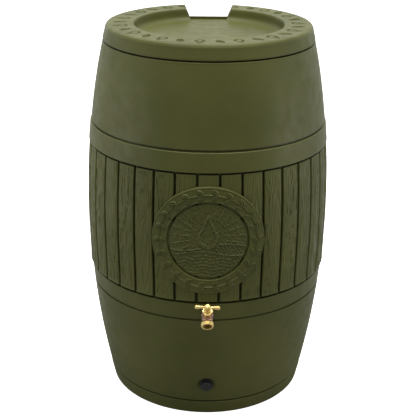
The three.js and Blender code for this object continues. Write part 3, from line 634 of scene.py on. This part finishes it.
def notch_wedge(name, near, far, low, high, extra):
    """The notch's space from near to far along Y, with extra width on each side."""
    corners = []
    for z in (low, high):
        for y, side in [(near, -1), (near, 1), (far, 1), (far, -1)]:
            corners.append((side * (notch_half_width(y, z) + extra), y, z))
    return box_between(name, corners)


def lid():
    angles = lid_angles()
    radii = graded(3, 262, 9, (157, 180, 1.9), (180, 189, 0.9), (189, 240, 1.35))
    rr, pp = np.meshgrid(radii, angles, indexing="ij")
    top = polar(rr, pp, lid_top(rr, pp))
    below = polar(rr, pp, LID_RIB_FOOT - 23)
    body = closed_rings("lid", np.concatenate([top, below[[-1, 0]]]))
    seat, under = RIM_HEIGHT + 0.3, LID_FLOOR - LID_SHEET
    inner, roof = LID_RIB_RADIUS - LID_SHEET, HEIGHT - LID_SHEET
    outside = fillet([
        (0, under), (inner, under, 1.5), (inner, LID_RIB_FOOT, 1.2), (LID_RIB_RADIUS, LID_RIB_FOOT, 1.2),
        (LID_RIB_RADIUS, seat, 1), (253.5, seat, 0.6), (254.5, 914.4, 0.6),
        (259.4, 914.6, 1.3), (258.9, 919, 4), (257.6, 924, 10), (254.6, 936, 14),
        (253.2, 943.0, 5), (250.0, 948.4, 3.5), (244, HEIGHT, 3), (239, HEIGHT + 0.4), (235, HEIGHT + 12),
        (0, HEIGHT + 12),
    ], 5)
    combine(body, "INTERSECT", revolve("lid_outside", outside, 200))
    hollow = revolve("lid_hollow", fillet([
        (inner, 908), (inner, RIM_HEIGHT + 5, 2), (inner + 8, RIM_HEIGHT + 9, 2), (inner + 5, roof - 5, 3),
        (inner + 1, roof, 3), (192, roof, 3), (187, LID_FLOOR + 13, 6), (176, LID_FLOOR, 6),
        (171, under + 1), (171, 908),
    ]), 200)
    combine(hollow, "DIFFERENCE", notch_wedge("keep", 130, 280, 900, 962, LID_SHEET))
    combine(body, "DIFFERENCE", hollow, notch_wedge("drop", NOTCH_LIP_BACK, 285, 870, 962, 0.35))
    return combine(body, "UNION", lip_bar())


# ---- Leaf screen ----

MESH_PITCH, WIRE_RADIUS, WEAVE = 4.6, 0.28, 0.15


def screen_mesh():
    """Woven wires: each one passes over and under the wires that cross it."""
    points, faces = [], []
    radius, level = 235.5, 901.9
    count = int(radius / MESH_PITCH)
    for direction in (0, 1):
        for number in range(-count, count + 1):
            offset = number * MESH_PITCH
            half = math.floor(math.sqrt(radius**2 - offset**2) / MESH_PITCH)
            if half < 2:
                continue
            step = np.arange(-half, half + 1)
            side = np.where((step + number + direction) % 2 == 0, 1.0, -1.0)
            height = level + WEAVE * side
            start = len(points)
            for along, h in zip(step * MESH_PITCH, height):
                for corner in range(4):
                    across = offset + WIRE_RADIUS * math.cos(corner * math.pi / 2)
                    z = h + WIRE_RADIUS * 0.5 * math.sin(corner * math.pi / 2)
                    points.append((along, across, z) if direction == 0 else (across, along, z))
            order = (0, 1, 2, 3) if direction == 0 else (3, 2, 1, 0)
            for s in range(len(step) - 1):
                for k in range(4):
                    a, b = start + 4 * s + order[k], start + 4 * s + order[(k + 1) % 4]
                    faces.append((a, b, b + 4, a + 4))
            last = start + 4 * (len(step) - 1)
            faces.append(tuple(start + k for k in order[::-1]))
            faces.append(tuple(last + k for k in order))
    return mesh_object("screen_mesh_visual", points, faces)


# ---- Fittings ----

CHAMFER_ZONE, CHAMFER_SLOPE = 0.1731, 1.73
TAP_FLANGE = -300.6


def round_ring(name, inner, outer, low, high, rounding, sides=96):
    middle = (inner + outer) / 2
    corners = [(middle, low), (outer, low, rounding), (outer, high, rounding), (inner, high, rounding),
               (inner, low, rounding), (middle, low)]
    return revolve(name, fillet(corners, 4)[:-1], sides)


def hex_solid(name, corner, low, high, chamfer_low, chamfer_high, bore=0.0):
    """A hexagonal nut about Z with corners on +X and -X, chamfered ends and, if asked, a bore."""
    flat = corner * math.cos(math.radians(30))
    zone = CHAMFER_ZONE * corner
    rows = np.unique(np.concatenate([np.linspace(low, low + zone, 6), np.linspace(high - zone, high, 6)]))
    limit = np.full_like(rows, corner * 2)
    if chamfer_low:
        limit = np.minimum(limit, flat * 0.97 + (rows - low) * CHAMFER_SLOPE)
    if chamfer_high:
        limit = np.minimum(limit, flat * 0.97 + (high - rows) * CHAMFER_SLOPE)
    angles = turn_angles(180)
    around_x = angles - math.pi / 2
    hexagon = flat / np.cos((around_x % (math.pi / 3)) - math.pi / 6)
    hexagon = soft_min(hexagon, np.full_like(hexagon, corner - 0.15), 0.5)
    radius = soft_min(hexagon[None, :], limit[:, None], 0.35)
    inner = max(bore, 0.05 * flat)
    middle = (inner + flat * 0.9) / 2
    foot = around([(inner, low), (middle, low)], angles)
    head = around([(middle, high), (inner, high)], angles)
    rings = np.concatenate([foot, polar(radius, angles, rows[:, None]), head])
    return closed_rings(name, rings, tube=bore > 0)


def threaded(name, root, crest, pitch, low, high, sides=72, taper=1.2):
    """A rod about Z with a helical thread that fades out over its taper at both ends."""
    rows = np.linspace(low, high, max(12, int((high - low) / pitch * 8)))
    zz, aa = np.meshgrid(rows, turn_angles(sides), indexing="ij")
    phase = (zz / pitch - aa / (2 * math.pi)) % 1
    tooth = 1 - np.abs(phase * 2 - 1) * 1.35
    fade = smoothstep(low, low + taper, zz) * smoothstep(high, high - taper, zz)
    radius = root + (crest - root) * np.clip(tooth, 0, 0.92) / 0.92 * fade
    foot, head = [around([(root * 0.2, z)], turn_angles(sides)) for z in (low, high)]
    return closed_rings(name, np.concatenate([foot, polar(radius, aa, zz), head]))


def tap_casting():
    """Cast body: wrench hexagon, neck, leaning chamber and the outlet's root, blended together."""
    flange, back = TAP_FLANGE, TAP_FLANGE - 8
    level, stem, outlet = along_y(TAP_HEIGHT), from_chamber(STEM_LEAN), from_chamber(OUTLET_TURN)
    body = place(hex_solid("tap_casting", 14.8, flange - 9, flange, True, True), level)
    neck = solid_rod("neck", [(0, -326), (10.6, -326, 1), (10.6, back, 1), (0, back)])
    shoulder = solid_rod("shoulder", [(0, flange - 14), (11.2, flange - 13, 1), (12.4, back, 1), (0, back)])
    chamber = solid_rod("chamber", [(0, -23), (7, -23, 3), (12.8, -17, 3), (13.5, -9, 4), (13.5, 12, 3),
                                    (12.9, 14, 2), (13.5, 16, 1), (13.5, 18.6, 0.6), (0, 18.6)])
    spout = solid_rod("spout", [(0, 0), (11.2, 0), (11.0, 14, 2), (12.6, 18.3, 0.5), (12.6, 18.95),
                                (0, 18.95)])
    combine(body, "UNION", place(neck, level), place(shoulder, level), place(chamber, stem),
            place(spout, outlet))
    cast_together(body, 0.55, 5)
    combine(body, "UNION", place(threaded("shank", 9.8, 10.6, 1.8, flange - 2, -269.4), level))
    well = solid_rod("well", [(0, -18), (8, -18, 1), (8, -11), (0, -11)], 48)
    return combine(
        body, "DIFFERENCE", place(drill(7, -324, -260), level),
        place(well, stem), place(drill(5.5, -12, -7), stem), place(drill(9.6, -8, 24, 72), stem),
        place(drill(6, 2, 15), outlet), place(drill(10.3, 14, 34, 72), outlet),
    )


def tap_outlet():
    """Machined hose collar with its thread."""
    low, high, pitch, root, tooth_height = 19.2, 27.6, 2.2, 14.3, 0.7
    angles = turn_angles(120)
    zz, aa = np.meshgrid(np.linspace(low, high, 56), angles, indexing="ij")
    tooth = np.clip(1.3 - np.abs(((zz / pitch - aa / (2 * math.pi)) % 1) * 2 - 1) * 1.6, 0, 1)
    fade = smoothstep(low, low + 1, zz) * smoothstep(high, high - 1, zz)
    thread = polar(root + tooth_height * tooth * fade, aa, zz)
    face = around(fillet([(13.7, 28), (10.9, 28, 0.5), (10.4, 27.5), (10.4, 19.0), (13.4, 19.0)], 3), angles)
    collar = closed_rings("tap_outlet_collar", np.concatenate([thread, face]), tube=True)
    return place(collar, from_chamber(OUTLET_TURN))


def tee_handle():
    """Hub with a tapered bar that swells into a flattened paddle at each end."""
    level = 40.0
    arm_profile = fillet([(0, 0), (2.8, 0), (2.7, 8, 3), (3.2, 13.5, 4), (4.3, 19, 4), (5.0, 25, 3),
                          (4.4, 28.2, 2), (1.6, 29.6, 0.6), (0, 29.6)], 6)
    hub = solid_rod("tee_handle_visual", [(0, 35.3), (5.5, 35.3, 0.6), (6.2, 38.5, 1), (6.2, 44.8, 2),
                                          (5.0, 47.9, 1.5), (0, 47.9)])
    for side in (-1, 1):
        arm = revolve("arm", arm_profile, 64)
        lay = Matrix.Translation((0, 0, level * MM)) @ Matrix.Rotation(side * math.pi / 2, 4, "Y")
        combine(hub, "UNION", place(arm, lay))
    cast_together(hub, 0.36, 6)
    hole = solid_rod("hole", [(0, 30), (3.3, 30), (3.3, 44.3), (1.9, 44.3), (1.9, 46.5), (3.7, 46.5),
                              (3.7, 50), (0, 50)], 40)
    combine(hub, "DIFFERENCE", hole)
    return hub


def slotted_screw(name, seat, side, head_radius, head_height, length):
    """A small screw about Z: domed slotted head on a threaded shank, with its top towards side."""
    top = seat + side * head_height
    head = solid_rod(name, [
        (0, seat), (head_radius, seat, 0.1), (head_radius, seat + side * head_height * 0.5, 0.3),
        (head_radius * 0.72, top, 0.5), (0, top),
    ], 48)
    low, high = sorted((seat + side * 0.3, seat - side * length))
    combine(head, "UNION", threaded("shank", 1.35, 1.6, 0.7, low, high, sides=32, taper=0.5))
    cut_low, cut_high = sorted((top - side * 0.75, top + side * 2))
    slot = [(-head_radius - 1, -0.45, cut_low), (head_radius + 1, -0.45, cut_low),
            (head_radius + 1, 0.45, cut_low), (-head_radius - 1, 0.45, cut_low)]
    slot += [(x, y, cut_high) for x, y, _ in slot]
    return combine(head, "DIFFERENCE", box_between("slot", slot))


def bonnet():
    nut = hex_solid("bonnet_visual", 13.3, 20.0, 26.0, False, True)
    plug = threaded("plug", 8.5, 9.2, 1.4, 11.5, 20.4)
    boss = threaded("boss", 5.5, 5.9, 0.9, 25.8, 29.0, sides=48, taper=0.5)
    combine(nut, "UNION", plug, boss)
    return combine(nut, "DIFFERENCE", drill(4.3, 5, 35))


def packing_nut():
    nut = hex_solid("packing_nut_visual", 8.4, 26.3, 33.5, True, True)
    cup = solid_rod("cup", [(0, 24), (6.2, 24), (6.2, 31.5), (4.3, 31.5), (4.3, 36), (0, 36)], 48)
    return combine(nut, "DIFFERENCE", cup)


def valve_stem():
    stem = solid_rod("valve_stem_visual", [
        (0, -4.4), (1.9, -4.4), (7, -4.4, 0.4), (7, -0.9, 0.4), (4, -0.9, 0.3), (4, 34.3, 0.3),
        (3, 35.3, 0.2), (3, 44, 0.3), (0, 44),
    ], 64)
    return combine(stem, "DIFFERENCE", drill(1.9, -6, 2.6, 32), drill(1.9, 37, 46, 32))


def finish_fittings(looks, *rows):
    """Places and finishes fittings: rows of (object made about Z, its placing, body, node, slot)."""
    for obj, placing, body, node, slot in rows:
        finish_piece(place(obj, placing), body, [node], looks[slot])


def build_tap(looks):
    wall, stem = along_y(TAP_HEIGHT), from_chamber(STEM_LEAN)
    finish_piece(tap_casting(), "barrel", ["tap_body"], looks["cast_brass"])
    finish_piece(tap_outlet(), "barrel", ["tap_body"], looks["machined_brass"])
    finish_fittings(
        looks,
        (bonnet(), stem, "barrel", "bonnet", "machined_brass"),
        (packing_nut(), stem, "barrel", "packing_nut", "machined_brass"),
        (valve_stem(), stem, "valve_stem", "valve_stem", "machined_brass"),
        (tee_handle(), from_chamber(STEM_LEAN, HANDLE_TURN), "valve_stem", "tee_handle", "machined_brass"),
        (slotted_screw("handle_screw_visual", 46.8, 1, 3.4, 1.8, 8), stem, "valve_stem", "handle_screw",
         "machined_brass"),
        (slotted_screw("washer_screw_visual", -8.0, -1, 3.4, 1.8, 9), stem, "valve_stem", "washer_screw",
         "machined_brass"),
        (round_ring("seat_washer_visual", 1.9, 7, -7.7, -4.7, 0.4), stem, "valve_washer", "seat_washer",
         "black_rubber"),
        (round_ring("bonnet_gasket_visual", 9.5, 12.5, 18.9, 19.7, 0.15), stem, "barrel", "bonnet_gasket",
         "red_fibre"),
        (round_ring("packing_ring_visual", 4.3, 5.9, 29.3, 31.2, 0.3), stem, "barrel", "packing_ring",
         "graphite_packing"),
        (round_ring("tap_outer_gasket_visual", 10.9, 15.2, -300.3, -297.3, 0.8), wall, "barrel",
         "tap_outer_gasket", "black_rubber"),
        (round_ring("tap_inner_gasket_visual", 10.9, 15.2, -286.7, -283.7, 0.8), wall, "barrel",
         "tap_inner_gasket", "black_rubber"),
        (hex_solid("tap_locknut_visual", 16.4, -283.4, -274.4, True, True, 10.9), wall, "barrel",
         "tap_locknut", "machined_brass"),
    )


def drain_plug():
    head = hex_solid("drain_plug_visual", 13.0, -276.5, -269.5, True, False)
    dish = solid_rod("dish", [(0, -280), (7.5, -280), (7.5, -276.2), (6.8, -275.6, 0.5), (0, -275.6)], 64)
    combine(head, "DIFFERENCE", dish)
    return combine(head, "UNION", threaded("shank", 7.4, 8.2, 1.8, -270.2, -257.5))


def build_drain(looks):
    bushing = revolve("drain_bushing_visual", fillet([
        (8.5, -266.9), (16, -267.3, 0.9), (16, -264.3, 0.3), (12, -264.3, 0.2), (12, -237.6, 0.6),
        (8.5, -237.4, 0.5), (8.5, -266.9)], 4)[:-1], 96)
    wall = along_y(DRAIN_HEIGHT)
    finish_fittings(
        looks,
        (bushing, wall, "barrel", "drain_bushing", "black_plastic"),
        (round_ring("drain_gasket_visual", 12.3, 18, -253.7, -250.7, 0.8), wall, "barrel", "drain_gasket",
         "black_rubber"),
        (hex_solid("drain_locknut_visual", 18.8, -250.4, -241.4, True, True, 12.3), wall, "barrel",
         "drain_locknut", "black_plastic"),
        (drain_plug(), wall, "drain_plug", "drain_plug", "black_plastic"),
        (round_ring("drain_plug_seal_visual", 8.5, 11, -269.2, -267.6, 0.5), wall, "drain_seal",
         "drain_plug_seal", "black_rubber"),
    )


def overflow_adapter():
    flats = hex_solid("overflow_adapter_visual", 17.5, 272.6, 280.6, True, True)
    tube = threaded("tube", 12.3, 13.2, 2.2, 245.7, 273.0, taper=2)
    nipple = threaded("nipple", 12.2, 13.2, 2.2, 280.2, 298.6, taper=2)
    combine(flats, "UNION", tube, nipple)
    return combine(flats, "DIFFERENCE", drill(9.5, 240, 305, 72))


def build_overflow(looks):
    wall = along_y(OVERFLOW_HEIGHT)
    finish_fittings(
        looks,
        (overflow_adapter(), wall, "barrel", "overflow_adapter", "black_plastic"),
        (round_ring("overflow_gasket_visual", 13.5, 19, 269.3, 272.3, 0.8), wall, "barrel",
         "overflow_gasket", "black_rubber"),
        (hex_solid("overflow_locknut_visual", 20, 249.7, 258.7, True, True, 13.5), wall, "barrel",
         "overflow_locknut", "black_plastic"),
    )


def build_screen(looks):
    here = Matrix()
    finish_fittings(
        looks,
        (round_ring("screen_hoop_visual", 219, 239.7, 898.3, 901.3, 0.8, 240), here, "screen",
         "screen_hoop", "screen_frame_plastic"),
        (round_ring("screen_clamp_visual", 219, 239.7, 902.5, 905.5, 0.8, 240), here, "screen",
         "screen_clamp_ring", "screen_frame_plastic"),
        (screen_mesh(), here, "screen", "screen_mesh", "screen_mesh"),
    )


# ---- Materials ----


BLACK, WHITE = [0, 0, 0, 1], [1, 1, 1, 1]


def grey(level):
    return [level, level, level, 1]


def srgb(red, green, blue):
    """Linear colour from 0-255 screen values."""
    channels = [c / 255 for c in (red, green, blue)]
    return [c / 12.92 if c <= 0.04045 else ((c + 0.055) / 1.055) ** 2.4 for c in channels] + [1.0]


def map_range(tree, value, *ends):
    """Maps a value from (from low, from high, to low, to high), where each end is a number or a socket."""
    node = tree.nodes.new("ShaderNodeMapRange")
    for socket, end in zip(("From Min", "From Max", "To Min", "To Max"), ends):
        if isinstance(end, float):
            node.inputs[socket].default_value = end
        else:
            tree.links.new(end, node.inputs[socket])
    tree.links.new(value, node.inputs["Value"])
    return node.outputs["Result"]


class Look:
    """A small builder for a Principled material fed by procedural textures in object space."""

    def __init__(self, name, roughness=0.5, metallic=0.0, specular=0.5):
        self.material = bpy.data.materials.new(name)
        self.material.use_nodes = True
        self.tree = self.material.node_tree
        self.nodes, self.links = self.tree.nodes, self.tree.links
        self.shader = self.nodes["Principled BSDF"]
        self.shader.inputs["Roughness"].default_value = roughness
        self.shader.inputs["Metallic"].default_value = metallic
        self.shader.inputs["Specular IOR Level"].default_value = specular
        self.place = self.nodes.new("ShaderNodeTexCoord").outputs["Object"]

    def noise(self, scale, detail=3.0, stretch=(1, 1, 1), roughness=0.5):
        """Noise with a given number of cells per metre, stretched by axis."""
        mapping = self.nodes.new("ShaderNodeMapping")
        mapping.inputs["Scale"].default_value = stretch
        self.links.new(self.place, mapping.inputs["Vector"])
        texture = self.nodes.new("ShaderNodeTexNoise")
        texture.inputs["Scale"].default_value = scale
        texture.inputs["Detail"].default_value = detail
        texture.inputs["Roughness"].default_value = roughness
        self.links.new(mapping.outputs["Vector"], texture.inputs["Vector"])
        return texture.outputs["Fac"]

    def ramp(self, value, *stops):
        """Colours at positions of a value, blended between them."""
        node = self.nodes.new("ShaderNodeValToRGB")
        elements = node.color_ramp.elements
        while len(elements) < len(stops):
            elements.new(0.5)
        for element, (position, colour) in zip(elements, stops):
            element.position, element.color = position, colour
        self.links.new(value, node.inputs["Fac"])
        return node.outputs["Color"]

    def span(self, value, low, high):
        """Noise turned into numbers from low to high."""
        return map_range(self.tree, value, 0.3, 0.7, low, high)

    def open_air(self, reach, clear):
        """0 in a crevice to 1 in the open, by how much lies within reach millimetres."""
        node = self.nodes.new("ShaderNodeAmbientOcclusion")
        node.inputs["Distance"].default_value = reach * MM
        return map_range(self.tree, node.outputs["AO"], 0.2, clear, 0.0, 1.0)

    def mix(self, share, first, second):
        node = self.nodes.new("ShaderNodeMix")
        node.data_type = "RGBA"
        for socket, value in ((0, share), (6, first), (7, second)):
            if isinstance(value, (float, int, list)):
                node.inputs[socket].default_value = value
            else:
                self.links.new(value, node.inputs[socket])
        return node.outputs[2]

    def colour(self, value):
        self.links.new(value, self.shader.inputs["Base Color"])

    def rough(self, value):
        self.links.new(value, self.shader.inputs["Roughness"])

    def bump(self, *layers):
        """Bump layers as (height, strength, distance in millimetres)."""
        normal = None
        for height, strength, distance in layers:
            node = self.nodes.new("ShaderNodeBump")
            node.inputs["Strength"].default_value = strength
            node.inputs["Distance"].default_value = distance * MM
            self.links.new(height, node.inputs["Height"])
            if normal:
                self.links.new(normal, node.inputs["Normal"])
            normal = node.outputs["Normal"]
        self.links.new(normal, self.shader.inputs["Normal"])


OLIVE_DARK, OLIVE, OLIVE_LIGHT = srgb(69, 71, 28), srgb(75, 77, 32), srgb(82, 84, 37)
# Near-black olive used as painted shade in crevices and grooves.
OLIVE_CREVICE_SHADE = srgb(26, 27, 10)


def olive_plastic(name, grained):
    """Moulded polyethylene: faint clouding, pigment specks, painted shade in its crevices and an eggshell
    skin.
    """
    look = Look(name, specular=0.28)
    cloud = look.noise(5, 4)
    tone = look.ramp(cloud, (0.3, OLIVE_DARK), (0.5, OLIVE), (0.7, OLIVE_LIGHT))
    specks = look.ramp(look.noise(900, 1), (0.62, BLACK), (0.74, WHITE))
    speckled = look.mix(look.mix(0.12, BLACK, specks), tone, OLIVE_LIGHT)
    # Painted shade: the colour darkens to a near-black olive where ambient occlusion finds crevices and
    # grooves, standing in for the shade that falls there.
    look.colour(look.mix(look.open_air(9.0, 0.75), OLIVE_CREVICE_SHADE, speckled))
    look.rough(look.span(look.noise(38, 4), 0.44, 0.6))
    layers = [(look.noise(620, 2), 0.16, 0.35), (look.noise(45, 2), 0.12, 1.2)]
    if grained:
        layers.insert(0, (look.noise(26, 5, (14, 14, 1), 0.6), 0.45, 0.8))
    look.bump(*layers)
    return look.material


def brass_machined():
    look = Look("machined_brass", metallic=1.0)
    tone = look.ramp(look.noise(120, 4), (0.35, srgb(236, 206, 128)), (0.6, srgb(250, 230, 160)))
    stain = look.ramp(look.noise(60, 5), (0.52, BLACK), (0.72, WHITE))
    look.colour(look.mix(look.mix(0.25, BLACK, stain), tone, srgb(176, 124, 66)))
    look.rough(look.span(look.noise(300, 4), 0.34, 0.5))
    look.bump((look.noise(1500, 2), 0.08, 0.1))
    return look.material


def brass_cast():
    look = Look("cast_brass", metallic=1.0)
    tone = look.ramp(look.noise(160, 5), (0.35, srgb(160, 128, 106)), (0.65, srgb(206, 174, 150)))
    look.colour(tone)
    look.rough(look.span(look.noise(420, 4), 0.42, 0.62))
    look.bump((look.noise(950, 3), 0.45, 0.35), (look.noise(260, 2), 0.2, 0.5))
    return look.material


def black_polymer(name, roughness, grain):
    look = Look(name, specular=0.45)
    look.colour(look.ramp(look.noise(90, 4), (0.35, srgb(20, 20, 21)), (0.65, srgb(31, 31, 33))))
    look.rough(look.span(look.noise(240, 4), roughness - 0.07, roughness + 0.1))
    look.bump((look.noise(1200, 2), grain, 0.15))
    return look.material


def fibre_sheet(name, dark, light):
    look = Look(name, 0.85)
    look.colour(look.ramp(look.noise(900, 5, (1, 1, 4)), (0.35, dark), (0.65, light)))
    look.bump((look.noise(1600, 3), 0.3, 0.15))
    return look.material


def screen_wire():
    look = Look("screen_wire", metallic=0.9)
    look.colour(look.ramp(look.noise(200, 4), (0.35, srgb(92, 94, 94)), (0.65, srgb(128, 130, 130))))
    look.rough(look.span(look.noise(500, 3), 0.36, 0.55))
    return look.material


def make_looks():
    """Materials by slot, with a grained copy of the olive plastic for the staves."""
    plastic = black_polymer("black_plastic", 0.38, 0.1)
    return {
        "olive_polyethylene": olive_plastic("olive_polyethylene", False),
        "olive_grained": olive_plastic("olive_polyethylene_grained", True),
        "machined_brass": brass_machined(),
        "cast_brass": brass_cast(),
        "black_plastic": plastic,
        "screen_frame_plastic": plastic,
        "black_rubber": black_polymer("black_rubber", 0.7, 0.3),
        "red_fibre": fibre_sheet("red_fibre", srgb(108, 40, 28), srgb(140, 62, 44)),
        "graphite_packing": fibre_sheet("graphite_packing", srgb(46, 46, 48), srgb(72, 72, 75)),
        "screen_mesh": screen_wire(),
    }


# ---- Studio ----

CAMERA_PLACE = (0.00207, -2.48539, 1.44440)
CAMERA_PITCH = math.radians(21.524)
CAMERA_ROLL = math.radians(0.648)
CAMERA_AROUND = math.radians(-0.6)
LENS, SENSOR = 88.68, 36.0


def camera():
    data = bpy.data.cameras.new("camera")
    data.lens, data.sensor_width = LENS, SENSOR
    data.clip_start, data.clip_end = 0.05, 60
    obj = linked_object("camera", data)
    aim = (
        Matrix.Translation(CAMERA_PLACE)
        @ Matrix.Rotation(math.pi / 2 - CAMERA_PITCH, 4, "X")
        @ Matrix.Rotation(CAMERA_ROLL, 4, "Z")
    )
    obj.matrix_world = Matrix.Rotation(CAMERA_AROUND, 4, "Z") @ aim
    bpy.context.scene.camera = obj


def softbox(name, place_at, aim_at, width, height, power):
    data = bpy.data.lights.new(name, "AREA")
    data.shape, data.size, data.size_y, data.energy = "RECTANGLE", width, height, power
    obj = linked_object(name, data)
    obj.location = place_at
    direction = [a - p for a, p in zip(aim_at, place_at)]
    obj.rotation_mode = "QUATERNION"
    obj.rotation_quaternion = Vector(direction).to_track_quat("-Z", "Y")


def white_world():
    """White surroundings that shine mostly from above and mirror brighter behind the barrel."""
    world = bpy.data.worlds.new("studio")
    bpy.context.scene.world = world
    world.use_nodes = True
    tree = world.node_tree
    nodes, links = tree.nodes, tree.links
    background = nodes["Background"]
    background.inputs["Color"].default_value = (1, 1, 1, 1)
    rays = nodes.new("ShaderNodeLightPath").outputs
    direction = nodes.new("ShaderNodeSeparateXYZ")
    links.new(nodes.new("ShaderNodeTexCoord").outputs["Generated"], direction.inputs["Vector"])
    shining = map_range(tree, direction.outputs["Z"], 0.0, 0.9, 0.34, 0.75)
    mirrored = map_range(tree, direction.outputs["Y"], -0.3, 0.6, 0.4, 1.3)
    lighting = map_range(tree, rays["Is Glossy Ray"], 0.0, 1.0, shining, mirrored)
    strength = map_range(tree, rays["Is Camera Ray"], 0.0, 1.0, lighting, 1.0)
    links.new(strength, background.inputs["Strength"])


def floor():
    """A floor that looks white, bounces little light and mirrors brighter behind the barrel."""
    half = 6000.0
    obj = mesh_object("floor", [(-half, -half, 0), (half, -half, 0), (half, half, 0), (-half, half, 0)],
                      [[0, 1, 2, 3]])
    look = Look("floor", 0.9)
    bounce = look.ramp(look.noise(2, 2), (0.3, grey(0.21)), (0.7, grey(0.24)))
    rays = look.nodes.new("ShaderNodeLightPath").outputs
    path = rays["Is Camera Ray"]
    across = look.nodes.new("ShaderNodeSeparateXYZ")
    look.links.new(look.place, across.inputs["Vector"])
    behind = look.ramp(across.outputs["Y"], (0.0, grey(0.3)), (0.9, WHITE))
    shown = look.mix(rays["Is Glossy Ray"], bounce, behind)
    look.colour(look.mix(path, shown, grey(0.95)))
    look.shader.inputs["Emission Color"].default_value = (1, 1, 1, 1)
    look.links.new(path, look.shader.inputs["Emission Strength"])
    obj.data.materials.append(look.material)


def studio():
    white_world()
    softbox("overhead", (0, -0.2, 3.2), (0, 0, 0.9), 2.6, 2.0, 102)
    softbox("left", (-2.3, -0.6, 0.45), (0, 0, 0.2), 1.4, 0.8, 12)
    softbox("right", (2.3, -0.6, 0.45), (0, 0, 0.2), 1.4, 0.8, 12)
    floor()
    camera()
    settings = bpy.context.scene.view_settings
    settings.view_transform, settings.look = "Standard", "None"


# ---- Build ----

looks = make_looks()
build_barrel(looks)
finish_piece(lid(), "lid", ["lid"], looks["olive_polyethylene"], WALL_EDGE)
build_screen(looks)
build_tap(looks)
build_drain(looks)
build_overflow(looks)
studio()
